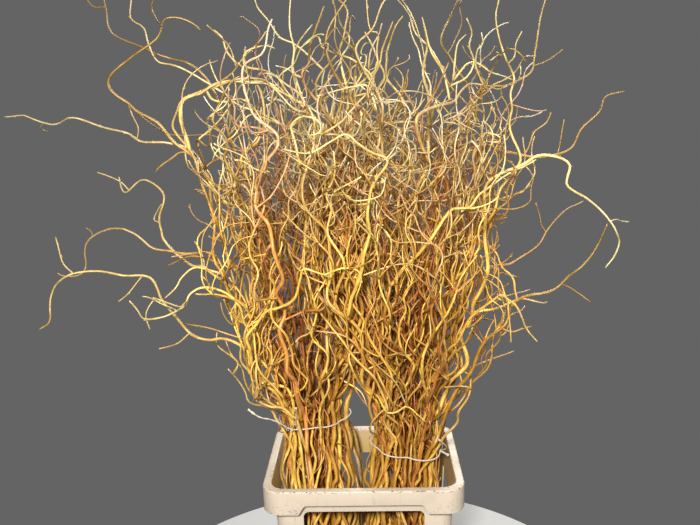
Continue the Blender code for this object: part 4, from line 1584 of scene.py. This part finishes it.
    def grow(self, branch: Branch, tint: float, low: float) -> TubeMesh:
        """Grow one branch: its stem, its shoots, their twigs and buds.

        Args:
            branch: The branch as planted.
            tint: Its bark's colour, from 0 to 1.
            low: The height below which no twig grows.

        Returns:
            Its tubes.
        """
        wood = TubeMesh(self.bunch)
        way = self.curled(even_way(branch.controls, self.stem_step), self.stem_curl)
        tone = self.rng.uniform(*self.tones)
        power = TAPER_POWER if branch.away else self.stoutness
        stem = wood.add(Tube(way, self.fine_radii(way, branch.root_radius, power), 9, tint, tone))
        bearers = [stem]
        for shoot in branch.shoots:
            line = even_way(shoot.controls, self.stem_step)
            near = stem.way[np.linalg.norm(stem.way - line[0], axis=1).argmin()]
            step_over = np.exp(-lengths_along(line) / self.settle)[:, None] * (near - line[0])
            line = self.curled(line, self.shoot_curl) + step_over
            radii = self.fine_radii(line, shoot.root_radius, power)
            bearers.append(wood.add(Tube(line, radii, 7, tint, tone)))
        for bearer in bearers:
            count = 1.0 / self.rng.uniform(*self.twig_spacing)
            self.twigs_on(bearer, wood, low, count, self.longest_twig, 1)
            self.buds_on(bearer, wood)
        return wood

    def low_twigs(self, wood: TubeMesh, low: float, high: float, count: int) -> None:
        """Grow fine reddish twigs up between the stems, under and at the tie.

        Args:
            wood: The wood of the stem that they leave.
            low: The height from which they do.
            high: The height up to which they do.
            count: How many there are.
        """
        stem = wood.tubes[0]
        inside = np.flatnonzero((stem.way[:, 2] > low) & (stem.way[:, 2] < high))
        for _ in range(count):
            at = int(self.rng.choice(inside))
            twig = self.twig(stem, at, self.rng.uniform(*self.low_twig_lengths))
            twig.radii = np.minimum(twig.radii, self.rng.uniform(*self.low_twig_radii))
            twig.tint = self.rng.uniform(*self.low_twig_tints)
            wood.add(twig)

    def lone_twig(self, wood: TubeMesh, at: Points, points: Points, radius: float) -> None:
        """Grow a listed twig through its own points.

        Args:
            wood: The wood that bears it.
            at: Where on that wood it starts.
            points: Its own points.
            radius: Its radius at the root.
        """
        way = self.curled(even_way(np.vstack((at, points)), self.twig_step), self.lone_curl)
        tint = self.lone_tint * wood.tubes[0].tint
        tube = Tube(way, taper(way, radius, self.twig_tip), 7, tint, self.rng.uniform(*self.lone_tones))
        twig = wood.add(tube)
        self.twigs_on(twig, wood, 0.0, self.lone_twigs, self.lone_longest, 0)
        self.buds_on(twig, wood)


# Pieces


class Wall(Enum):
    """A wall of the bucket, by its quarter turns from the front."""

    FRONT = 0
    RIGHT = 1
    BACK = 2
    LEFT = 3

    @property
    def heading(self) -> float:
        """Its turn about Z."""
        return math.pi / 2 * self.value

    @property
    def rim_reach(self) -> float:
        """How far the rim stands from the middle."""
        return (RIM_LENGTH if self.value % 2 else RIM_WIDTH) / 2

    @property
    def window_width(self) -> float:
        """How wide its window is."""
        length = RIM_WIDTH if self.value % 2 else RIM_LENGTH
        return length - 2 * BODY_INSET - 2 * POST_WIDTH


def declare(piece: Object, slot: str, *nodes: str) -> None:
    """Let a piece ride on the body, let it stand for its solids and report it.

    Args:
        piece: The piece.
        slot: Its finish's slot; not used.
        nodes: The solids that it stands for.
    """
    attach(piece, BODY)
    if nodes:
        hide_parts(*nodes)
    LOG.info("%s: %d faces", piece.name, len(piece.data.polygons))


@dataclass
class Bucket:
    """The moulded tub with its turned-down rim, stepped skirt and windows.

    Args:
        finish: Its plastic.
    """

    finish: Plastic
    corner_steps: int = 14
    ease_steps: int = 4
    body_ease: float = 0.008
    turn_ease: float = 0.0015
    lip_ease: float = 0.001
    rim_flare: float = 0.0008
    skirt_round: float = 0.005
    overcut: float = 1.1
    edge_round: float = 0.0007
    rounded_angle: float = 42.0
    sharp_angle: float = 40.0
    wear_reach: float = 0.0030
    # how much of the painted inside shade reaches up to just under the rim
    rim_painted_shade: float = 0.80

    def profile(self) -> list[Span]:
        """The wall's outline from the underside up, over the rim and down inside, with eased corners.

        Returns:
            How far in from the rim's outside and how high each of its points lies.
        """
        under_rim = RIM_TOP - SKIRT_WALL
        skirt_end = RIM_TOP - SKIRT_DROP
        below_rim = RIM_TOP - 2 * RIM_EASE
        corners = [
            (BASE_INSET + EDGE_EASE, 0.0, 0.0), (BASE_INSET, EDGE_EASE, 0.0),
            (BODY_INSET, WINDOW_TOP, self.body_ease), (RIM_BAND - WALL, under_rim, self.turn_ease),
            (SKIRT_WALL, under_rim, self.turn_ease), (SKIRT_WALL, skirt_end, self.lip_ease),
            (0.0, skirt_end, self.lip_ease), (0.0, below_rim, 0.0), (0.0, RIM_TOP, RIM_EASE),
            (2 * RIM_EASE, RIM_TOP, 0.0), (RIM_BAND - 2 * EDGE_EASE, RIM_TOP, 0.0),
            (RIM_BAND, RIM_TOP, EDGE_EASE), (RIM_BAND + self.rim_flare, below_rim, 0.0),
            (BODY_INSET + WALL, WINDOW_TOP, self.body_ease), (BASE_INSET + WALL, FLOOR, 0.0),
        ]
        outline = []
        for number, (inset, height, ease) in enumerate(corners):
            if not ease:
                outline.append((inset, height))
                continue
            corner = np.array((inset, height))
            before, after = (corner + ease * unit(np.array(corners[number + step][:2]) - corner)
                             for step in (-1, 1))
            for t in np.linspace(0.0, 1.0, self.ease_steps + 1):
                outline.append(tuple((1 - t) ** 2 * before + 2 * t * (1 - t) * corner + t * t * after))
        return outline

    def ring(self, bm: bmesh.types.BMesh, inset: float, height: float) -> list[bmesh.types.BMVert]:
        """Add vertices round a rectangle with rounded corners.

        Args:
            bm: The mesh that they are added to.
            inset: How far in from the rim's outside they lie.
            height: Their height.

        Returns:
            The vertices.
        """
        radius = max(RIM_CORNER - inset * 0.5, LEAST_CORNER)
        reach_x = RIM_LENGTH / 2 - inset - radius
        reach_y = RIM_WIDTH / 2 - inset - radius
        ring = []
        for corner, (side_x, side_y) in enumerate(((1, 1), (-1, 1), (-1, -1), (1, -1))):
            for step in range(self.corner_steps + 1):
                x, y = polar(math.pi / 2 * (corner + step / self.corner_steps), radius)
                ring.append(bm.verts.new((side_x * reach_x + x, side_y * reach_y + y, height)))
        return ring

    def loft(self) -> Object:
        """Skin the tub over its rings.

        Returns:
            The tub, uncut.
        """
        bm = bmesh.new()
        rings = [self.ring(bm, inset, height) for inset, height in self.profile()]
        for lower, upper in zip(rings, rings[1:]):
            for here in range(len(lower)):
                there = (here + 1) % len(lower)
                bm.faces.new((lower[here], lower[there], upper[there], upper[here]))
        bm.faces.new(list(reversed(rings[0])))
        bm.faces.new(rings[-1])
        bmesh.ops.recalc_face_normals(bm, faces=bm.faces)
        return self.object_from(bm, "moulded_bucket")

    @staticmethod
    def object_from(bm: bmesh.types.BMesh, name: str) -> Object:
        """Turn a mesh in the making into an object.

        Args:
            bm: The mesh, which is freed.
            name: The object's name.

        Returns:
            The object.
        """
        mesh = bpy.data.meshes.new(name)
        bm.to_mesh(mesh)
        bm.free()
        return link_object(name, mesh)

    def window_cutter(self, wall: Wall) -> Object:
        """A block with rounded edges that opens a window.

        Args:
            wall: The window's wall.

        Returns:
            The block, in its place.
        """
        bm = bmesh.new()
        bmesh.ops.create_cube(bm, size=1.0)
        bmesh.ops.scale(bm, vec=(wall.window_width, WINDOW_CUT, WINDOW_DROP), verts=bm.verts)
        across = [edge for edge in bm.edges
                  if abs(edge.verts[0].co.y - edge.verts[1].co.y) > WINDOW_CUT / 2]
        bmesh.ops.bevel(bm, geom=across, offset=WINDOW_CORNER, segments=8, profile=0.5, affect="EDGES")
        middle = Vector((0.0, -(wall.rim_reach - BODY_INSET - 2.5 * WALL), WINDOW_TOP - WINDOW_DROP / 2))
        return self.turned(self.object_from(bm, "window_cutter"), middle, wall)

    def skirt_cutter(self, wall: Wall) -> Object:
        """A block with slanting ends that shortens the skirt between two corners.

        Args:
            wall: The skirt's wall.

        Returns:
            The block, in its place.
        """
        half_top = wall.window_width / 2 - SKIRT_SLANT / 3
        low = self.overcut * (SKIRT_SIDE_DROP - SKIRT_DROP)
        bm = bmesh.new()
        bmesh.ops.create_cube(bm, size=1.0)
        for vert in bm.verts:
            half, height = (half_top, 0.0) if vert.co.z > 0 else (half_top + self.overcut * SKIRT_SLANT, low)
            vert.co = (math.copysign(half, vert.co.x), 4.5 * SKIRT_WALL * vert.co.y, height)
        upper = [edge for edge in bm.edges if min(vert.co.z for vert in edge.verts) > low / 2
                 and abs(edge.verts[0].co.y - edge.verts[1].co.y) > SKIRT_WALL]
        bmesh.ops.bevel(bm, geom=upper, offset=self.skirt_round, segments=4, profile=0.5, affect="EDGES")
        middle = Vector((0.0, -(wall.rim_reach - SKIRT_WALL), RIM_TOP - SKIRT_SIDE_DROP))
        return self.turned(self.object_from(bm, "skirt_cutter"), middle, wall)

    @staticmethod
    def turned(cutter: Object, middle: Vector, wall: Wall) -> Object:
        """Turn a cutter about the bucket's axis.

        Args:
            cutter: The cutter, made for the front wall.
            middle: Where its middle would be there.
            wall: Its own wall.

        Returns:
            The cutter.
        """
        cutter.rotation_euler.z = wall.heading
        middle.rotate(cutter.rotation_euler)
        cutter.location = middle
        return cutter

    @staticmethod
    def beyond(verts: Points, inset: Points | float) -> Points:
        """How far each vertex lies outside a rectangle set in from the rim's outside."""
        corner = np.abs(verts[:, :2]) - (RIM_LENGTH / 2, RIM_WIDTH / 2) + np.reshape(inset, (-1, 1))
        return np.linalg.norm(np.maximum(corner, 0.0), axis=1) + np.minimum(corner.max(axis=1), 0.0)

    def wear(self, verts: Points) -> Points:
        """How near each vertex lies to an edge that gets knocked.

        Args:
            verts: The vertices.

        Returns:
            A share from 0 to 1 for each.
        """
        inset = RIM_CORNER - self.beyond(verts, RIM_CORNER)
        wear = np.zeros(len(verts))
        for edge, height, much in ((0.0, RIM_TOP, 0.9), (RIM_BAND, RIM_TOP, 1.0),
                                   (0.0, RIM_TOP - SKIRT_DROP, 0.5)):
            away = np.hypot(inset - edge, verts[:, 2] - height)
            wear = np.maximum(wear, much * np.clip(1.5 - away / self.wear_reach, 0.0, 1.0))
        return wear

    def painted_inside_shade(self, verts: Points) -> Points:
        """How much painted shade each vertex gets: none outside, more and more down the inside.

        Args:
            verts: The vertices.

        Returns:
            A share from 0 to 1 for each.
        """
        height = verts[:, 2]
        mid_wall = np.interp(height, (0.0, WINDOW_TOP, RIM_TOP - SKIRT_WALL),
                             (BASE_INSET, BODY_INSET, RIM_BAND - WALL)) + WALL / 2
        radius = np.maximum(RIM_CORNER - mid_wall / 2, LEAST_CORNER)
        inner = self.beyond(verts, mid_wall + radius) < radius
        inner &= (height > FLOOR / 2) & (height < RIM_TOP - 1.5 * EDGE_EASE)
        painted_inside_shade = np.interp(height, (WINDOW_TOP, RIM_TOP - 2 * RIM_EASE), (1.0, self.rim_painted_shade))
        return np.where(inner, painted_inside_shade, 0.0)

    def build(self) -> None:
        """Cut the tub, ease its edges and dress it."""
        tub = self.loft()
        cutters = [make(wall) for wall in Wall for make in (self.window_cutter, self.skirt_cutter)]
        for cutter in cutters:
            modifier = tub.modifiers.new(cutter.name, "BOOLEAN")
            modifier.operation = "DIFFERENCE"
            modifier.object = cutter
            modifier.solver = "EXACT"
        bevel = tub.modifiers.new("eased_edges", "BEVEL")
        bevel.width = self.edge_round
        bevel.segments = 2
        bevel.limit_method = "ANGLE"
        bevel.angle_limit = math.radians(self.rounded_angle)
        bevel.harden_normals = False
        bpy.context.view_layer.update()
        mesh = bpy.data.meshes.new_from_object(tub.evaluated_get(bpy.context.evaluated_depsgraph_get()))
        tub.modifiers.clear()
        tub.data = mesh
        for cutter in cutters:
            bpy.data.objects.remove(cutter, do_unlink=True)
        verts = np.empty(3 * len(mesh.vertices))
        mesh.vertices.foreach_get("co", verts)
        for name, measure in (("edge_wear", self.wear), ("inside_stain", self.painted_inside_shade)):
            write_attribute(mesh, name, measure(verts.reshape(-1, 3)))
        mesh.materials.clear()
        mesh.materials.append(self.finish.material())
        mesh.shade_smooth()
        mesh.set_sharp_from_angle(angle=math.radians(self.sharp_angle))
        declare(tub, "bucket_plastic", "bucket")


@dataclass
class Tie:
    """A two-ply string round a bunch, with its knot and two loose ends.

    Args:
        bunch: The bunch that it ties.
        planting: Where its loop and its loose ends run.
        finish: Its twine, as a material.
    """

    bunch: Bunch
    planting: Planting
    finish: Material
    strand_radius: float = 0.00090
    strand_offset: float = 0.00070
    pitch: float = 0.0085
    step: float = 0.0013
    loose_pitch: float = 0.030
    loose_spread: float = 1.2
    loose_end: float = 0.025
    loose_share: float = 0.9
    knot_size: Place = (0.00105, 0.00095, 0.00150)
    knot_radius: float = 0.00125

    def strands(self, way: Points, share: float, pitch: float, spread: float = 0.0) -> list[Tube]:
        """Two strands twisted round each other along a way.

        Args:
            way: The string's middle line.
            share: How thick the string is against the loop.
            pitch: The length of one full twist.
            spread: How much wider the string gets at its end, where its fibres come loose.

        Returns:
            The strands.
        """
        first, second = Tube(way, np.zeros(len(way)), 3).frames()
        along = lengths_along(way)
        turn = 2 * math.pi * along / pitch
        swing = np.cos(turn)[:, None] * first + np.sin(turn)[:, None] * second
        width = share * (1.0 + spread * np.clip(1.0 - (along[-1] - along) / self.loose_end, 0.0, 1.0))
        return [Tube(way + side * self.strand_offset * width[:, None] * swing, self.strand_radius * width, 7)
                for side in (1, -1)]

    def knot(self) -> Tube:
        """The knot: a string wound through itself.

        Returns:
            Its tube.
        """
        knot = self.planting.knot(self.bunch)
        out = unit(knot - self.bunch.at(np.zeros(2), self.bunch.tie_height))
        aside = unit(np.cross(out, UP))
        turns = np.linspace(0.0, 2 * math.pi, 61)
        winding = np.column_stack((np.sin(turns) + 2 * np.sin(2 * turns),
                                   np.cos(turns) - 2 * np.cos(2 * turns), -np.sin(3 * turns)))
        way = knot + winding * self.knot_size @ np.array((aside, np.cross(aside, out), out))
        return Tube(way, np.full(len(way), self.knot_radius), 8)

    def build(self) -> None:
        """Twist the strands and dress the tie."""
        string = TubeMesh(self.bunch)
        loop = np.roll(self.planting.loops[self.bunch.name], -self.bunch.knot_step, axis=0)
        tubes = self.strands(even_way(np.vstack((loop, loop[:1])), self.step), 1.0, self.pitch)
        for tail in self.planting.tie_tails(self.bunch):
            way = even_way(tail, self.step)
            tubes += self.strands(way, self.loose_share, self.loose_pitch, self.loose_spread)
        for tube in [*tubes, self.knot()]:
            string.add(tube)
        name = f"twine_{self.bunch.name}"
        declare(string.build(name, self.finish, random.Random(name)), "tie_string", f"tie_{self.bunch.name}")


@dataclass
class Crown:
    """All the wood of one bunch.

    Args:
        bunch: The bunch.
        planting: Where its branches run.
        finish: The bark, as a material.
    """

    bunch: Bunch
    planting: Planting
    finish: Material
    thin_stems: int = 36
    thin_radii: Span = (0.0028, 0.0052)
    thin_tops: Span = (0.30, 0.66)
    thin_steps: Span = (0.07, 0.12)
    thin_reach: Span = (0.75, 1.25)
    thin_wobble: float = 0.25
    thin_tries: int = 12
    lane_heights: tuple[float, ...] = (-0.08, -0.02, 0.02, 0.09, 0.20)
    lane_reaches: tuple[float, ...] = (1.20, 0.84, 0.84, 1.22, 1.10)
    twists: Span = (0.5, 2.5)
    own_way_tint: float = 0.35
    low_twig_heights: Span = (0.26, 0.62)
    low_twig_count: int = 3
    tints: tuple[float, ...] = (0.02, 0.15, 0.30, 0.45, 0.62, 0.80, 0.97)
    tint_weights: tuple[int, ...] = (5, 6, 5, 3, 3, 3, 2)
    lowest_twig: float = 0.025
    lone_radius: float = 0.0023
    stout_radius: float = 0.0037
    stout_lead: float = 0.09

    def __post_init__(self) -> None:
        """Seed the crown's chance."""
        self.rng = random.Random(f"{self.bunch.name} crown")
        self.grower = Grower(self.bunch, self.rng)
        self.low = self.bunch.tie_height + self.lowest_twig

    def tint(self) -> float:
        """A branch's colour, more often golden than red-brown."""
        return self.rng.choices(self.tints, self.tint_weights)[0]

    def thin_stem(self, number: int) -> Branch:
        """A thin stem that winds round between the stout ones.

        Args:
            number: Its number.

        Returns:
            The stem of the seeded tries that has most room.
        """
        best_room, best = -1.0, None
        for _ in range(self.thin_tries):
            turn = GOLDEN_ANGLE * (number + 0.5)
            twist = self.rng.choice((-1, 1)) * self.rng.uniform(*self.twists)
            share = math.sqrt((number + 0.5) / self.thin_stems)
            top = RIM_TOP + self.rng.uniform(*self.thin_tops)
            points = []
            height = FOOT_HEIGHT
            while height < top:
                widest = np.interp(height - self.bunch.tie_height, self.lane_heights, self.lane_reaches)
                reach = min(share * self.rng.uniform(*self.thin_reach), 1.0) * widest
                points.append(self.bunch.at(polar(turn, reach), height))
                rise = self.rng.uniform(*self.thin_steps)
                height += rise
                turn += twist * rise + self.rng.uniform(-self.thin_wobble, self.thin_wobble)
            branch = Branch(number, np.array(points), self.rng.uniform(*self.thin_radii))
            room = self.planting.taken.room(branch.way, branch.radii)
            if room > best_room:
                best_room, best = room, branch
        self.planting.taken.add(best.way, best.radii)
        return best

    def dress(self, wood: TubeMesh, name: str, *nodes: str) -> None:
        """Turn grown wood into a piece."""
        declare(wood.build(f"{self.bunch.name}_{name}", self.finish, self.rng), "willow_bark", *nodes)

    def build(self) -> None:
        """Grow every branch, the thin stems and the listed twigs, and dress them."""
        grown = {}
        for branch in self.planting.branches[self.bunch.name]:
            tint = self.tint() * (self.own_way_tint if branch.away else 1.0)
            grown[branch.number] = self.grower.grow(branch, tint, self.low)
        for twigs, radius, lead in ((LONE_TWIGS, self.lone_radius, 0.0),
                                    (STOUT_TWIGS, self.stout_radius, self.stout_lead)):
            for points in filter(self.bunch.owns, twigs.values()):
                self.grow_lone_twig(grown, np.array(points) / 100, radius, lead)
        for number, wood in grown.items():
            self.dress(wood, f"branch_{number + 1:02d}", f"branch_{self.bunch.name}_{number + 1:02d}")
        leaning = [Branch(0, np.array(points) / 100, self.thin_radii[1])
                   for points in filter(self.bunch.owns, LEANING_STEMS.values())]
        thin = leaning + [self.thin_stem(number) for number in range(self.thin_stems)]
        for number, branch in enumerate(thin):
            wood = self.grower.grow(branch, self.tint(), self.low)
            self.grower.low_twigs(wood, *self.low_twig_heights, self.low_twig_count)
            self.dress(wood, f"thin_stem_{number + 1:02d}")

    def grow_lone_twig(self, grown: dict[int, TubeMesh], points: Points, radius: float, lead: float) -> None:
        """Grow a listed twig from the nearest wood.

        Args:
            grown: The bunch's wood, by branch.
            points: The twig's own points.
            radius: Its radius at the root.
            lead: How far below its first point it leaves a stem; 0 lets it leave any wood right there.
        """
        start = points[0] - lead * UP
        bearers = [(float(distances.min()), wood, tube.way[distances.argmin()])
                   for wood in grown.values() for tube in (wood.tubes[:1] if lead else wood.tubes)
                   if tube.start is None
                   for distances in [np.linalg.norm(tube.way - start, axis=1)]]
        _, wood, at = min(bearers, key=lambda bearer: bearer[0])
        self.grower.lone_twig(wood, at, points if lead else points[1:], radius)


# Studio


@dataclass(frozen=True)
class Lamp:
    """A soft square lamp that faces the bunches.

    Args:
        name: Its name.
        place: Where it hangs.
        size: The length of its sides.
        power: Its power in watts.
        warmth: Its colour.
        target: Where it points.
    """

    name: str
    place: Place
    size: float
    power: float
    warmth: Colour = (1.0, 0.98, 0.95)
    target: Place = (0.0, 0.0, 0.85)

    def build(self) -> None:
        """Hang the lamp."""
        light = bpy.data.lights.new(self.name, "AREA")
        light.size = self.size
        light.energy = self.power
        light.color = self.warmth
        lamp = link_object(self.name, light)
        lamp.location = self.place
        lamp.rotation_euler = (Vector(self.target) - lamp.location).to_track_quat("-Z", "Y").to_euler()


@dataclass(frozen=True)
class Studio:
    """A pale floor, soft lamps, a grey surround and the camera.

    Args:
        camera_place: Where the camera stands.
        pitch: How far it looks down, in degrees.
        yaw: How far it turns to the right, in degrees.
        roll: How far it leans, in degrees.
        lens: Its focal length in millimetres.
        sensor: How wide its picture is there, in millimetres.
        floor_radius: How far the floor reaches.
        surround: The colour all round.
        lamps: The lamps.
    """

    camera_place: Place = (0.023, -1.498, 1.177)
    pitch: float = 12.60
    yaw: float = -1.59
    roll: float = -1.44
    lens: float = 39.31
    sensor: float = 36.0
    floor_radius: float = 0.60
    surround: Colour = (0.127, 0.127, 0.127)
    lamps: tuple[Lamp, ...] = (
        Lamp("key", (-0.20, -2.4, 1.95), 0.3, 146.0), Lamp("fill", (1.6, -1.7, 1.3), 1.4, 10.0),
        Lamp("top", (0.2, 0.3, 3.0), 1.2, 14.0), Lamp("back", (0.5, 2.3, 1.9), 1.6, 72.0))

    def build(self) -> None:
        """Set the studio up."""
        scene = bpy.context.scene
        scene.view_settings.view_transform = "Standard"
        world = bpy.data.worlds.new("surround")
        world.use_nodes = True
        world.node_tree.nodes["Background"].inputs["Color"].default_value = (*self.surround, 1.0)
        scene.world = world
        bm = bmesh.new()
        bmesh.ops.create_circle(bm, cap_ends=True, segments=128, radius=self.floor_radius)
        floor = Bucket.object_from(bm, "floor")
        floor.data.materials.append(StudioFloor().material())
        for lamp in self.lamps:
            lamp.build()
        scene.camera = self.camera()
        LOG.info("studio: %d lamps", len(self.lamps))

    def camera(self) -> Object:
        """Stand the camera up.

        Returns:
            The camera.
        """
        pitch, yaw, roll = (math.radians(angle) for angle in (self.pitch, self.yaw, self.roll))
        ahead = Vector((math.sin(yaw) * math.cos(pitch), math.cos(yaw) * math.cos(pitch), -math.sin(pitch)))
        right = Vector((math.cos(yaw), -math.sin(yaw), 0.0))
        above = right.cross(ahead)
        right, above = (math.cos(roll) * right + math.sin(roll) * above,
                        math.cos(roll) * above - math.sin(roll) * right)
        lens = bpy.data.cameras.new("camera")
        lens.lens = self.lens
        lens.sensor_width = self.sensor
        stand = link_object("camera", lens)
        stand.matrix_world = Matrix((right, above, -ahead)).transposed().to_4x4()
        stand.location = self.camera_place
        return stand


def main() -> None:
    """Build the studio, the bucket, the bunches and their ties."""
    logging.basicConfig(level=logging.INFO, format="%(name)s: %(message)s")
    Studio().build()
    Bucket(Plastic()).build()
    bunches = (
        Bunch("left", side=-1, shift=0.0, girth=1.0, tie_height=RIM_TOP + 0.093, tie_slope=0.06,
              knot_angle=245, tails=LEFT_TAILS, ways=LEFT_WAYS),
        Bunch("right", side=1, shift=-0.010, girth=1.12, tie_height=RIM_TOP + 0.026, tie_slope=-0.10,
              knot_angle=-8, tails=RIGHT_TAILS, ways=RIGHT_WAYS))
    planting = Planting(bunches)
    planting.lay()
    bark, twine = Bark().material(), Twine().material()
    for bunch in bunches:
        Tie(bunch, planting, twine).build()
        Crown(bunch, planting, bark).build()


if __name__ == "__main__":
    main()
